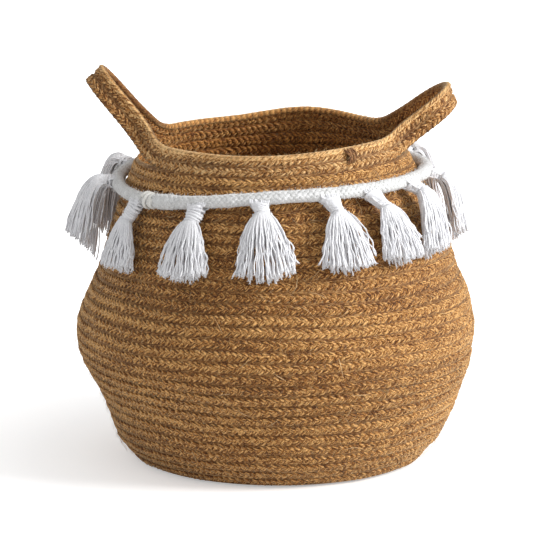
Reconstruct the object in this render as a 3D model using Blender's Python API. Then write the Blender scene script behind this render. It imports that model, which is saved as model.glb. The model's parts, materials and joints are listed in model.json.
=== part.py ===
"""A round-bellied basket of sewn jute plait with two raised loop handles and a tasselled cotton neck cord.

One flat plait is sewn row on row into a flat foot, a full belly, a sloping shoulder and a narrow neck.
The top two rows are the rim, and they leave the wall at the left and right as two soft loop handles.
A cotton cord lies round the neck, its ends bound together with thread, and fourteen tassels hang on it.
Lengths are in metres, +Z is up, the origin is the middle of the foot on the floor,
the front of the basket faces -Y and its right handle is at +X.
"""
import bisect
import math

import bmesh
import bpy
from mathutils import Vector

MM = 0.001

# The outside of the wall from the floor up: a radius at each level, and the rise to that level.
FOOT_RADIUS = 119 * MM
HEEL_RISE = 20 * MM
HEEL_RADIUS = 135.5 * MM
FLANK_RISE = 30 * MM
FLANK_RADIUS = 147.5 * MM
BELLY_RISE = 59 * MM
BELLY_RADIUS = 165.5 * MM
SHOULDER_RISE = 56 * MM
SHOULDER_RADIUS = 147 * MM
SLOPE_RISE = 42 * MM
SLOPE_RADIUS = 133.5 * MM
NECK_RISE = 29.5 * MM
NECK_RADIUS = 119.5 * MM
RIM_RISE = 32.5 * MM
RIM_RADIUS = 106.5 * MM

# The handmade lean: how far the middle of each level stands to the right of the foot's middle,
# and how much the rows climb towards the right.
HEEL_SHIFT = 1.5 * MM
FLANK_SHIFT = 3.5 * MM
BELLY_SHIFT = -2.5 * MM
SHOULDER_SHIFT = -1.5 * MM
NECK_SHIFT = -5 * MM
RIM_SHIFT = -4.5 * MM
ROW_CLIMB = 0.03

# The rim rises a little at the back and dips in front: how much, where in degrees from +X,
# and over how wide an angle.
BACK_RISE = 5.5 * MM
BACK_RISE_ANGLE = 74
BACK_RISE_SPREAD = 37
FRONT_DIP = 3.2 * MM
FRONT_DIP_ANGLE = -95
FRONT_DIP_SPREAD = 60

# The plait and how it is sewn.
ROW_PITCH = 9.3 * MM
WALL = 6 * MM
GROOVE = 0.9 * MM
FOOT_THICKNESS = 6.5 * MM
FLOOR_CLEARANCE = 0.5 * MM
SEAT_GAP = 0.3 * MM
RIM_ROWS = 2

# How far up and down the wall its slope is measured over, and how near a cut face of a strap the
# rings inside it may come.
SLOPE_REACH = 2 * MM
ARC_CLEAR = 1 * MM

# The loop handles: how far in front of and behind the middle their arms leave the rim, and fold;
# the lengths over which they bend up and twist, how far the loops reach from the rim, how far apart
# the arms run, and how steeply each loop stands.
HANDLE_ROOT = 60 * MM
HANDLE_FOLD = 42 * MM
HANDLE_BEND = 9 * MM
HANDLE_TWIST = 24 * MM
LEFT_REACH = 85 * MM
LEFT_SPREAD = 18 * MM
LEFT_RAISE = math.radians(49.5)
RIGHT_REACH = 70 * MM
RIGHT_SPREAD = 34 * MM
RIGHT_RAISE = math.radians(36)

# How an arm closes in on its way out, as shares of the reach and of the gap from the root to the arm;
# then how the loop's end rounds over, as shares of the reach and of the arm's distance from the middle.
ARM_CLOSING = ((0, 1), (0.12, 0.72), (0.28, 0.30), (0.48, 0.06), (0.70, 0))
LOOP_END = ((0.88, 0.72), (0.97, 0.35), (1, 0))

# The plait's sewn-down end on the front of the rim.
TUCK_ANGLE = 36
TUCK_WIDTH = 8 * MM
TUCK_HEIGHT = 12 * MM
TUCK_THICKNESS = 1.6 * MM
TUCK_EDGE = 2 * MM

# The cotton cord: how far below the neck's own level it lies, and its sag in front on the left,
# with its place in degrees from the front towards the right, and its spread.
CORD_RADIUS = 5.3 * MM
CORD_DROP = 3 * MM
CORD_SAG = 7.5 * MM
CORD_SAG_ANGLE = -50
CORD_SAG_SPREAD = 58

# The thread that binds the cord's two ends.
BINDING_ANGLE = -49
BINDING_LENGTH = 12 * MM
BINDING_THICKNESS = 1.2 * MM
BINDING_EDGE = 1.8 * MM

# The tassel heads: a saddle of yarn over the cord, bound into a short neck. The saddle's ends are given
# in degrees up from straight out, and it reaches at least its lip past the neck.
HEAD_WIDTH = 16 * MM
SADDLE_THICKNESS = 1.9 * MM
SADDLE_TOP = 68
SADDLE_BOTTOM = -80
SADDLE_LIP = 12
NECK_THICKNESS = 12 * MM
NECK_ROOT_SHARE = 0.8

# How a head rounds off towards its two sides: shares of its half width, its saddle and its neck.
HEAD_SLICES = ((-1, 0.7, 0.6), (-0.6, 1, 1), (0.6, 1, 1), (1, 0.7, 0.6))

# The tassels: each one's angle round the neck from the front towards the right, the length and droop
# of its bound neck, its skirt's length, its width and depth at the hem, and its sway towards the right.
TASSELS = (
    (-113, 6.5 * MM, 21, 51 * MM, 36 * MM, 27 * MM, 0 * MM),
    (-84, 6.5 * MM, 4, 48 * MM, 44 * MM, 36 * MM, 0 * MM),
    (-57, 15 * MM, -58, 43 * MM, 42 * MM, 21 * MM, 6 * MM),
    (-29, 12 * MM, -57, 48 * MM, 42 * MM, 20 * MM, -3 * MM),
    (-4, 8.5 * MM, -54, 54 * MM, 48 * MM, 21 * MM, 0 * MM),
    (22, 12.5 * MM, -50, 48 * MM, 46 * MM, 20 * MM, 1 * MM),
    (40, 14 * MM, -45, 46 * MM, 41 * MM, 20 * MM, 6 * MM),
    (60, 9 * MM, -32, 49 * MM, 38 * MM, 20 * MM, -7 * MM),
    (85, 8.5 * MM, -26, 48 * MM, 38 * MM, 18 * MM, 0 * MM),
    (121, 6.5 * MM, 22, 52 * MM, 38 * MM, 20 * MM, 0 * MM),
    (140, 11 * MM, -50, 52 * MM, 42 * MM, 21 * MM, 0 * MM),
    (166, 10 * MM, -52, 53 * MM, 42 * MM, 20 * MM, 0 * MM),
    (191, 12 * MM, -52, 51 * MM, 43 * MM, 20 * MM, 0 * MM),
    (217, 10 * MM, -46, 53 * MM, 42 * MM, 21 * MM, 0 * MM),
)

# How every skirt hangs: how far down the wall the neck carries it, how far it bows out of the neck,
# how long it lies along the wall, how far its cut end stays behind its bend, how much narrower than
# the head it starts, how soon it widens, and how deep its folds are.
SKIRT_DROP = 0.75
SKIRT_BOW = 0.25
SKIRT_HANG = 0.38
SKIRT_LAG = 0.4
SKIRT_TOP_SHARE = 0.88
SKIRT_FLARE = 0.8
SKIRT_FLUTE = 0.12

# How finely the round shapes are cut, and the angle in degrees from which an edge looks sharp.
SEGMENTS = 36
CORD_SIDES = 8
SADDLE_SIDES = 3
LIP_SIDES = 2
CRADLE_SIDES = 6
SKIRT_SIDES = 12
SKIRT_RINGS = 6
CURVE_STEPS = 16
ARM_STEPS = 2
SHARP_EDGE = 50

FLOOR = Vector((0, 0, 0))
UP = Vector((0, 0, 1))

JUTE = ((0.423, 0.235, 0.098), 0.86)
RIM_JUTE = ((0.456, 0.258, 0.108), 0.85)
TUCK_JUTE = ((0.235, 0.095, 0.027), 0.80)
COTTON = ((0.780, 0.780, 0.790), 0.78)
THREAD = ((0.830, 0.820, 0.790), 0.70)


def clear_scene():
    """Take out everything that an empty file starts with."""
    for item in list(bpy.data.objects):
        bpy.data.objects.remove(item, do_unlink=True)


def make_material(name, finish):
    """A plain dyed-fibre material: its colour, and how rough it is."""
    colour, roughness = finish
    material = bpy.data.materials.new(name)
    material.use_nodes = True
    shader = material.node_tree.nodes["Principled BSDF"]
    shader.inputs["Base Color"].default_value = (*colour, 1)
    shader.inputs["Roughness"].default_value = roughness
    shader.inputs["Metallic"].default_value = 0
    return material


def add_piece(name, body, finish, pivot=FLOOR):
    """Turn a closed body into a named piece whose origin is its pivot."""
    bmesh.ops.recalc_face_normals(body, faces=body.faces)
    bmesh.ops.translate(body, verts=body.verts, vec=-pivot)
    mesh = bpy.data.meshes.new(name)
    body.to_mesh(mesh)
    body.free()
    mesh.shade_smooth()
    mesh.set_sharp_from_angle(angle=math.radians(SHARP_EDGE))
    mesh.materials.append(make_material(name, finish))
    piece = bpy.data.objects.new(name, mesh)
    piece.location = pivot
    bpy.context.scene.collection.objects.link(piece)
    return piece


def loft(rings, closed_path=False):
    """A body through rings of points: each ring is joined to the next, and open ends are capped."""
    body = bmesh.new()
    loops = [[body.verts.new(point) for point in ring] for ring in rings]
    pairs = list(zip(loops, loops[1:]))
    if closed_path:
        pairs.append((loops[-1], loops[0]))
    for here, there in pairs:
        for i in range(len(here)):
            j = (i + 1) % len(here)
            body.faces.new((here[i], here[j], there[j], there[i]))
    if not closed_path:
        body.faces.new(loops[0])
        body.faces.new(loops[-1])
    return body


def smooth_through(points, steps):
    """A smooth curve through the points, with the given steps between each two of them."""
    gaps = [(after - before).length for before, after in zip(points, points[1:])]
    runs = [(after - before) / gap for before, after, gap in zip(points, points[1:], gaps)]
    slopes = [runs[0]]
    for i in range(1, len(runs)):
        slopes.append((runs[i - 1] * gaps[i] + runs[i] * gaps[i - 1]) / (gaps[i] + gaps[i - 1]))
    slopes.append(runs[-1])
    curve = []
    for i, gap in enumerate(gaps):
        for step in range(steps):
            t = step / steps
            curve.append(
                points[i] * (2 * t**3 - 3 * t**2 + 1)
                + slopes[i] * gap * (t**3 - 2 * t**2 + t)
                + points[i + 1] * (3 * t**2 - 2 * t**3)
                + slopes[i + 1] * gap * (t**3 - t**2)
            )
    curve.append(points[-1])
    return curve


def ease(share):
    """A smooth step from 0 to 1."""
    share = min(1, max(0, share))
    return share * share * (3 - 2 * share)


def nearness(angle, middle, spread):
    """How near an angle in radians is to one in degrees: 1 there, easing to 0 at the spread."""
    turned = (angle - math.radians(middle) + math.pi) % (2 * math.pi) - math.pi
    return ease(1 - abs(turned) / math.radians(spread))


class Wall:
    """The wall's outer face, told by the distance that the plait has climbed from the foot."""

    def __init__(self):
        levels = (
            ("foot", FLOOR_CLEARANCE, FOOT_RADIUS, 0),
            ("heel", HEEL_RISE, HEEL_RADIUS, HEEL_SHIFT),
            ("flank", FLANK_RISE, FLANK_RADIUS, FLANK_SHIFT),
            ("belly", BELLY_RISE, BELLY_RADIUS, BELLY_SHIFT),
            ("shoulder", SHOULDER_RISE, SHOULDER_RADIUS, SHOULDER_SHIFT),
            ("slope", SLOPE_RISE, SLOPE_RADIUS, SHOULDER_SHIFT),
            ("neck", NECK_RISE, NECK_RADIUS, NECK_SHIFT),
            ("rim", RIM_RISE, RIM_RADIUS, RIM_SHIFT),
        )
        points = []
        height = 0
        for _, rise, radius, shift in levels:
            height += rise
            points.append(Vector((radius, height, shift)))
        self.points = smooth_through(points, CURVE_STEPS)
        self.climbed = [0]
        for before, after in zip(self.points, self.points[1:]):
            self.climbed.append(self.climbed[-1] + (after - before).length)
        climb_to = {level[0]: self.climbed[i * CURVE_STEPS] for i, level in enumerate(levels)}
        self.length = climb_to["rim"]
        self.rows = round(self.length / ROW_PITCH)
        self.pitch = self.length / self.rows
        self.belly_row = round(climb_to["belly"] / self.pitch)
        self.slope_row = round(climb_to["slope"] / self.pitch)
        self.rim_row = self.rows - RIM_ROWS
        self.neck_climb = climb_to["neck"]

    def at(self, climb):
        """Radius, height and shift at a distance climbed, which may pass either end a little."""
        i = bisect.bisect_right(self.climbed, climb) - 1
        i = min(len(self.points) - 2, max(0, i))
        share = (climb - self.climbed[i]) / (self.climbed[i + 1] - self.climbed[i])
        return self.points[i].lerp(self.points[i + 1], share)

    def direction(self, climb):
        """The way up the wall, as a unit step in radius and in height."""
        step = self.at(climb + SLOPE_REACH) - self.at(climb - SLOPE_REACH)
        size = math.hypot(step.x, step.y)
        return step.x / size, step.y / size

    def section(self, climb, proud):
        """Radius, height and shift of a point that stands proud of the outer face."""
        point = self.at(climb)
        along, rise = self.direction(climb)
        return point.x + proud * rise, point.y - proud * along, point.z

    def place(self, angle, climb, proud):
        """A point in space, at an angle round the basket in radians from +X."""
        radius, height, shift = self.section(climb, proud)
        x = radius * math.cos(angle) + shift
        foot_share = min(1, max(0, height / (HEEL_RISE + FLANK_RISE)))
        height += ROW_CLIMB * x * foot_share
        rise = BACK_RISE * nearness(angle, BACK_RISE_ANGLE, BACK_RISE_SPREAD)
        rise -= FRONT_DIP * nearness(angle, FRONT_DIP_ANGLE, FRONT_DIP_SPREAD)
        height += rise * ease((climb - self.neck_climb) / (self.length - self.neck_climb))
        return Vector((x, radius * math.sin(angle), height))

    def place_at_depth(self, side, depth, climb, proud):
        """The point that lies a given depth in front of or behind the middle, at the left or right."""
        radius = self.section(climb, proud)[0]
        angle = math.asin(depth / radius)
        return self.place(angle if side > 0 else math.pi - angle, climb, proud)


def build_foot(wall):
    """The flat coil that the basket stands on, its edge cut to the slope of the first wall row."""
    along, rise = wall.direction(0)
    edge_radius = FOOT_RADIUS - SEAT_GAP * along
    edge_height = FLOOR_CLEARANCE - SEAT_GAP * rise

    def edge(height):
        return edge_radius - (height - edge_height) * rise / along

    top_radius = edge(FOOT_THICKNESS)
    rows = round(top_radius / ROW_PITCH)
    pitch = top_radius / rows
    outline = [(edge(0), 0), (top_radius, FOOT_THICKNESS - GROOVE)]
    for row in range(rows, 1, -1):
        outline.append(((row - 0.5) * pitch, FOOT_THICKNESS))
        outline.append(((row - 1) * pitch, FOOT_THICKNESS - GROOVE))
    outline.append((0.5 * pitch, FOOT_THICKNESS))
    rings = []
    for radius, height in outline:
        ring = []
        for i in range(SEGMENTS):
            angle = 2 * math.pi * i / SEGMENTS
            ring.append(Vector((radius * math.cos(angle), radius * math.sin(angle), height)))
        rings.append(ring)
    add_piece("base_coil", loft(rings), JUTE)


def wall_outline(wall, first_row, last_row):
    """The cut face of some rows of the wall: a groove between rows outside, plain inside."""
    bottom = first_row * wall.pitch + SEAT_GAP / 2
    top = last_row * wall.pitch - SEAT_GAP / 2
    outline = [(bottom, -GROOVE)]
    for row in range(first_row, last_row):
        outline.append(((row + 0.5) * wall.pitch, 0))
        if row < last_row - 1:
            outline.append(((row + 1) * wall.pitch, -GROOVE))
    outline.append((top, -GROOVE))
    outline.append((top, -WALL))
    for row in range(last_row - 2, first_row, -2):
        outline.append((row * wall.pitch, -WALL))
    outline.append((bottom, -WALL))
    return outline


def build_wall_rings(wall):
    """The belly, the shoulder and the neck, each a closed ring of sewn rows."""
    sections = (
        ("lower_wall", 0, wall.belly_row),
        ("shoulder_wall", wall.belly_row, wall.slope_row),
        ("neck_wall", wall.slope_row, wall.rim_row),
    )
    for name, first_row, last_row in sections:
        outline = wall_outline(wall, first_row, last_row)
        rings = []
        for i in range(SEGMENTS):
            angle = 2 * math.pi * i / SEGMENTS
            rings.append([wall.place(angle, climb, proud) for climb, proud in outline])
        add_piece(name, loft(rings, closed_path=True), JUTE)


def strap_outline(wall):
    """The cut face of the two-row strap of the rim and the handles: offsets across and through it."""
    half = wall.pitch * RIM_ROWS / 2 - SEAT_GAP / 2
    crest = wall.pitch / 2
    thick = WALL / 2
    groove = thick - GROOVE
    edge = WALL / 4
    outer = [(-half, edge), (-crest, thick), (0, groove), (crest, thick), (half, edge)]
    inner = [(across, -through) for across, through in reversed(outer)]
    return outer + inner


def rim_middle(wall):
    """How far the plait has climbed at the middle of the rim band."""
    return (wall.rim_row + RIM_ROWS / 2) * wall.pitch


def handle_root(wall, side):
    """The middle of the strap where a handle's front arm leaves the rim."""
    return wall.place_at_depth(side, -HANDLE_ROOT, rim_middle(wall), -WALL / 2)


def handle_arm(wall, side, reach, spread, steepness):
    """Stations from the front root of a handle to its tip: the strap's middle, and its tilt there."""
    root = handle_root(wall, side)
    shape = [(out, spread + gap * (HANDLE_ROOT - spread)) for out, gap in ARM_CLOSING]
    shape += [(out, gap * spread) for out, gap in LOOP_END]
    along, rise = wall.direction(rim_middle(wall))
    rim_tilt = math.atan2(-along, rise)
    small_steps = 200
    outward = [0]
    upward = [0]
    for i in range(small_steps):
        bend_share = (i + 0.5) / small_steps * reach / HANDLE_BEND
        climb_angle = side * ROW_CLIMB + (steepness - side * ROW_CLIMB) * ease(bend_share)
        outward.append(outward[-1] + math.cos(climb_angle) * reach / small_steps)
        upward.append(upward[-1] + math.sin(climb_angle) * reach / small_steps)
    stations = []
    for share, half_gap in shape:
        i = round(share * small_steps)
        stations.append(Vector((root.x + side * outward[i], -half_gap, root.z + upward[i])))
    path = smooth_through(stations, ARM_STEPS)
    arm = []
    for point in path:
        twist_share = abs(point.x - root.x) / HANDLE_TWIST
        arm.append((point, rim_tilt + (steepness - rim_tilt) * ease(twist_share)))
    return arm


def handle_strap(wall, side, reach, spread, steepness):
    """Rings along the whole strap of a handle, from its front root on the rim to its back root."""
    arm = handle_arm(wall, side, reach, spread, steepness)
    back = [(Vector((point.x, -point.y, point.z)), tilt) for point, tilt in reversed(arm[:-1])]
    path = arm + back
    outline = strap_outline(wall)
    rings = [root_ring(wall, side, -HANDLE_ROOT)]
    for i in range(1, len(path) - 1):
        point, tilt = path[i]
        forward = (path[i + 1][0] - path[i - 1][0]).normalized()
        across_way = Vector((-side * math.sin(tilt), 0, math.cos(tilt)))
        across_way = (across_way - forward * across_way.dot(forward)).normalized()
        outward_way = forward.cross(across_way) * side
        rings.append([point + across_way * across + outward_way * through for across, through in outline])
    rings.append(root_ring(wall, side, HANDLE_ROOT))
    return rings


def root_ring(wall, side, depth):
    """The strap's cut face where an arm leaves the rim, square to the basket's depth."""
    middle = rim_middle(wall)
    return [wall.place_at_depth(side, depth, middle + across, through - WALL / 2)
            for across, through in strap_outline(wall)]


def cut_strap(rings, front, back):
    """The part of a strap between two depths, with a flat face at each."""

    def face(depth):
        ring = []
        for line in zip(*rings):
            i = bisect.bisect_left([point.y for point in line], depth)
            i = min(len(line) - 1, max(1, i))
            before, after = line[i - 1], line[i]
            ring.append(before.lerp(after, (depth - before.y) / (after.y - before.y)))
        return ring

    front_end, back_end = front + ARC_CLEAR, back - ARC_CLEAR
    inside = [ring for ring in rings if all(front_end < point.y < back_end for point in ring)]
    return [face(front)] + inside + [face(back)]


def build_rim_band(wall, name, depth, left_strap, right_strap):
    """The rim's two rows in front or behind, with the arms' roots that rise out of it to their folds."""
    outline = strap_outline(wall)
    middle = rim_middle(wall)
    root_turn = math.asin(HANDLE_ROOT / wall.section(middle, 0)[0])
    steps = math.ceil(SEGMENTS * (math.pi - 2 * root_turn) / (2 * math.pi))
    arc = []
    for i in range(1, steps):
        ring = []
        for across, through in outline:
            climb = middle + across
            proud = through - WALL / 2
            root = math.asin(HANDLE_ROOT / wall.section(climb, proud)[0])
            turned = root + i / steps * (math.pi - 2 * root)
            ring.append(wall.place(math.copysign(turned, depth), climb, proud))
        arc.append(ring)
    fold = HANDLE_FOLD + SEAT_GAP / 2
    if depth < 0:
        right_arm = cut_strap(right_strap, -HANDLE_ROOT, -fold)[::-1]
        left_arm = cut_strap(left_strap, -HANDLE_ROOT, -fold)
    else:
        right_arm = cut_strap(right_strap, fold, HANDLE_ROOT)
        left_arm = cut_strap(left_strap, fold, HANDLE_ROOT)[::-1]
    add_piece(name, loft(right_arm + arc + left_arm), RIM_JUTE)


def handle_pivot(strap):
    """The middle of a handle's fold line, through the strap's middle on both arms."""
    ring = cut_strap(strap, -HANDLE_FOLD, HANDLE_FOLD)[0]
    middle = sum(ring, Vector((0, 0, 0))) / len(ring)
    return Vector((middle.x, 0, middle.z))


def build_handle(name, strap):
    """A loop handle, the rim's own strap carried out of the wall, stored as photographed."""
    fold = HANDLE_FOLD - SEAT_GAP / 2
    add_piece(name, loft(cut_strap(strap, -fold, fold)), RIM_JUTE, handle_pivot(strap))


def build_rim_and_handles(wall):
    """The top two rows: the rim in front and behind, and the loops that they make at the sides."""
    left_strap = handle_strap(wall, -1, LEFT_REACH, LEFT_SPREAD, LEFT_RAISE)
    right_strap = handle_strap(wall, 1, RIGHT_REACH, RIGHT_SPREAD, RIGHT_RAISE)
    build_rim_band(wall, "rim_band_front", -HANDLE_ROOT, left_strap, right_strap)
    build_rim_band(wall, "rim_band_back", HANDLE_ROOT, left_strap, right_strap)
    build_handle("handle_left", left_strap)
    build_handle("handle_right", right_strap)


def build_tuck(wall):
    """The end of the plait, folded down and sewn flat on the outside of the rim."""
    middle = rim_middle(wall) + wall.pitch / 4
    half_turn = TUCK_WIDTH / 2 / RIM_RADIUS
    centre = math.radians(TUCK_ANGLE - 90)
    low = middle - TUCK_HEIGHT / 2
    high = middle + TUCK_HEIGHT / 2
    under = SEAT_GAP
    side = SEAT_GAP + TUCK_THICKNESS / 3
    over = SEAT_GAP + TUCK_THICKNESS
    outline = [(low, under), (high, under), (high, side), (high - TUCK_EDGE, over),
               (low + TUCK_EDGE, over), (low, side)]
    rings = []
    for turn in (-half_turn, -half_turn / 2, half_turn / 2, half_turn):
        rings.append([wall.place(centre + turn, climb, proud) for climb, proud in outline])
    add_piece("braid_end_tuck", loft(rings), TUCK_JUTE)


def tassel_angle(turned):
    """An angle from +X in radians, for one counted in degrees from the front towards the right."""
    return math.radians(turned - 90)


def cord_climb(wall, angle):
    """How far up the wall the cord lies at an angle."""
    return wall.neck_climb - CORD_DROP - CORD_SAG * nearness(angle, CORD_SAG_ANGLE - 90, CORD_SAG_SPREAD)


def cord_centre(wall, angle, lift=0):
    """The middle of the cord where it lies against the neck."""
    return wall.place(angle, cord_climb(wall, angle), CORD_RADIUS + SEAT_GAP + lift)


def cord_half_turn():
    """Half of the straight stretch of cord that each tassel hangs on, as an angle."""
    return math.pi / SEGMENTS


def cord_bow():
    """How far a straight stretch's ends stand out, so that its middle clears the round neck."""
    return (NECK_RADIUS + CORD_RADIUS) * (1 / math.cos(cord_half_turn()) - 1)


def cord_ring(wall, angle, radius, lift=0):
    """A ring of points round the cord, square to its run."""
    centre = cord_centre(wall, angle, lift)
    along, rise = wall.direction(cord_climb(wall, angle))
    radial = Vector((math.cos(angle), math.sin(angle), 0))
    out = radial * rise - UP * along
    up = radial * along + UP * rise
    ring = []
    for i in range(CORD_SIDES):
        turned = 2 * math.pi * i / CORD_SIDES
        ring.append(centre + out * (radius * math.cos(turned)) + up * (radius * math.sin(turned)))
    return ring


def cord_angles():
    """Where the cord's rings stand: either side of each tassel, the binding, and between.

    Each stretch is counted in whole segments after rounding, so that a tassel's own stretch stays one.
    """
    binding = tassel_angle(BINDING_ANGLE)
    gap = (BINDING_LENGTH / 2 + SEAT_GAP) / (NECK_RADIUS + CORD_RADIUS)
    marks = [binding + gap]
    for tassel in TASSELS:
        angle = tassel_angle(tassel[0])
        turned = (angle - binding) % (2 * math.pi)
        marks += [binding + turned - cord_half_turn(), binding + turned + cord_half_turn()]
    marks.append(binding + 2 * math.pi - gap)
    marks.sort()
    angles = []
    for here, there in zip(marks, marks[1:]):
        parts = math.ceil(round((there - here) / (2 * math.pi / SEGMENTS), 2))
        angles += [here + (there - here) * i / parts for i in range(parts)]
    angles.append(marks[-1])
    return angles


def build_cord(wall):
    """The cotton cord round the neck, from one side of its binding to the other."""
    rings = [cord_ring(wall, angle, CORD_RADIUS, cord_bow()) for angle in cord_angles()]
    add_piece("neck_cord", loft(rings), COTTON)


def build_binding(wall):
    """The thread wound round the cord's two ends where they meet."""
    half = BINDING_LENGTH / 2
    flat = half - BINDING_EDGE
    centre = tassel_angle(BINDING_ANGLE)
    radius = CORD_RADIUS + BINDING_THICKNESS
    edge = radius - BINDING_THICKNESS / 2
    rings = []
    for along, size in ((-half, edge), (-flat, radius), (flat, radius), (half, edge)):
        turn = along / (NECK_RADIUS + CORD_RADIUS)
        rings.append(cord_ring(wall, centre + turn, size, cord_bow() + BINDING_THICKNESS))
    add_piece("cord_binding", loft(rings), THREAD)


class TasselFrame:
    """A tassel's own directions: along the cord, outwards and upwards, from the cord's middle."""

    def __init__(self, wall, turned):
        self.angle = tassel_angle(turned)
        left = cord_centre(wall, self.angle - cord_half_turn(), cord_bow())
        right = cord_centre(wall, self.angle + cord_half_turn(), cord_bow())
        self.pivot = (left + right) / 2
        self.along = (right - left).normalized()
        self.up = (UP - self.along * UP.dot(self.along)).normalized()
        self.out = self.along.cross(self.up)

    def point(self, across, out, up):
        """A point in space from the three offsets."""
        return self.pivot + self.along * across + self.out * out + self.up * up


def head_outline(neck_length, droop, saddle, neck_share):
    """The side view of a tassel head: a saddle over the cord and the bound neck that leaves it."""
    inner = CORD_RADIUS + SEAT_GAP
    outer = inner + saddle
    end_half = NECK_THICKNESS / 2 * neck_share
    root = math.atan2(end_half * NECK_ROOT_SHARE, outer)
    bottom = min(math.radians(SADDLE_BOTTOM), droop - root - math.radians(SADDLE_LIP))
    top = math.radians(SADDLE_TOP)
    reach = outer + neck_length

    def polar(radius, angle):
        return radius * math.cos(angle), radius * math.sin(angle)

    sides = []
    for side in (-1, 1):
        sides.append((reach * math.cos(droop) - side * end_half * math.sin(droop),
                      reach * math.sin(droop) + side * end_half * math.cos(droop)))
    outline = [polar(outer, bottom + (droop - root - bottom) * i / LIP_SIDES) for i in range(LIP_SIDES)]
    outline += [polar(outer, droop - root), sides[0], sides[1], polar(outer, droop + root)]
    for i in range(1, SADDLE_SIDES + 1):
        outline.append(polar(outer, droop + root + (top - droop - root) * i / SADDLE_SIDES))
    clear = inner / math.cos((top - bottom) / CRADLE_SIDES / 2)
    for i in range(CRADLE_SIDES + 1):
        outline.append(polar(clear, top + (bottom - top) * i / CRADLE_SIDES))
    return outline


def build_head(frame, name, neck_length, droop):
    """A tassel's head: its yarns saddle the cord and are bound into a neck under it."""
    rings = []
    for half_share, saddle_share, neck_share in HEAD_SLICES:
        outline = head_outline(neck_length, droop, SADDLE_THICKNESS * saddle_share, neck_share)
        rings.append([frame.point(HEAD_WIDTH / 2 * half_share, out, up) for out, up in outline])
    add_piece(name, loft(rings), COTTON, frame.pivot)


def skirt_path(wall, frame, neck_length, droop, length, depth):
    """The middle line of a skirt, outwards and upwards from the cord: out of the neck, then down."""
    start = CORD_RADIUS + SEAT_GAP + SADDLE_THICKNESS + neck_length + SEAT_GAP
    out_of_neck = Vector((math.cos(droop), math.sin(droop)))
    neck_end = out_of_neck * start
    hem_climb = cord_climb(wall, frame.angle) - start * SKIRT_DROP - length
    hem_spot = wall.place(frame.angle, hem_climb, depth / 2 + SEAT_GAP) - frame.pivot
    hem = Vector((hem_spot.dot(frame.out), hem_spot.dot(frame.up)))
    along, rise = wall.direction(hem_climb)
    handles = (neck_end, neck_end + out_of_neck * length * SKIRT_BOW,
               hem + Vector((along, rise)) * length * SKIRT_HANG, hem)
    path = []
    for i in range(SKIRT_RINGS + 1):
        t = i / SKIRT_RINGS
        weights = ((1 - t)**3, 3 * t * (1 - t)**2, 3 * t**2 * (1 - t), t**3)
        path.append(sum((spot * weight for spot, weight in zip(handles, weights)), Vector((0, 0))))
    return path, out_of_neck


def build_skirt(wall, frame, name, neck_length, droop, length, width, depth, sway):
    """A tassel's skirt: soft yarns that leave the neck, fall over the shoulder and spread."""
    path, out_of_neck = skirt_path(wall, frame, neck_length, droop, length, depth)
    top_width = HEAD_WIDTH * SKIRT_TOP_SHARE
    top_depth = NECK_THICKNESS * SKIRT_TOP_SHARE
    rings = []
    for i, spot in enumerate(path):
        share = i / SKIRT_RINGS
        forward = (path[min(i + 1, SKIRT_RINGS)] - path[max(i - 1, 0)]).normalized()
        facing = forward.lerp(out_of_neck, SKIRT_LAG if i else 1).normalized()
        through = Vector((-facing.y, facing.x))
        half_width = (top_width + (width - top_width) * share**SKIRT_FLARE) / 2
        half_depth = (top_depth + (depth - top_depth) * ease(share)) / 2
        ring = []
        for k in range(SKIRT_SIDES):
            turned = 2 * math.pi * k / SKIRT_SIDES
            flute = 1 if k % 2 else 1 - SKIRT_FLUTE * share
            across = half_width * math.cos(turned) * flute + sway * share
            offset = through * (half_depth * math.sin(turned) * flute)
            ring.append(frame.point(across, spot.x + offset.x, spot.y + offset.y))
        rings.append(ring)
    add_piece(name, loft(rings), COTTON, frame.pivot)


def build_tassels(wall):
    """All the tassels, numbered round the cord from the left rear past the front."""
    for number, (turned, neck_length, droop, length, width, depth, sway) in enumerate(TASSELS, 1):
        name = f"tassel_{number:02d}"
        frame = TasselFrame(wall, turned)
        droop = math.radians(droop)
        build_head(frame, f"{name}_head", neck_length, droop)
        build_skirt(wall, frame, f"{name}_skirt", neck_length, droop, length, width, depth, sway)


clear_scene()
basket_wall = Wall()
build_foot(basket_wall)
build_wall_rings(basket_wall)
build_rim_and_handles(basket_wall)
build_tuck(basket_wall)
build_cord(basket_wall)
build_binding(basket_wall)
build_tassels(basket_wall)
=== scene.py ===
import json
import math
import random

import bpy
import numpy as np
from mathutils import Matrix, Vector


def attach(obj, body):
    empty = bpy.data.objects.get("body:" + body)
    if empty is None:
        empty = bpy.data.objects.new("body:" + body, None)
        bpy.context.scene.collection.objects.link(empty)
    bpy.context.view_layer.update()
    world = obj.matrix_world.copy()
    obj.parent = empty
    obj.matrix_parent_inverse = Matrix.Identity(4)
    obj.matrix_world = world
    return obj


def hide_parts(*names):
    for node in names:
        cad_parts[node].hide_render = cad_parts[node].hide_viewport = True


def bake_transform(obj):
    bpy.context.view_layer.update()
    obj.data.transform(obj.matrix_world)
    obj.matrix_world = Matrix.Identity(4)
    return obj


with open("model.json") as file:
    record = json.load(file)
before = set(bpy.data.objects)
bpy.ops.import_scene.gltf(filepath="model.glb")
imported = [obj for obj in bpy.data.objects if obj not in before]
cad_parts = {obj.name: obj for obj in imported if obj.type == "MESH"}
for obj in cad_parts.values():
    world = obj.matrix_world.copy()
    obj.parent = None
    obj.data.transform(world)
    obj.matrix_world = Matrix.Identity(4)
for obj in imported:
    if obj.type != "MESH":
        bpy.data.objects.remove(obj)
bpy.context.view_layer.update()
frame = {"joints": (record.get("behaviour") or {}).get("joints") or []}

MM = 0.001

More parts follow.
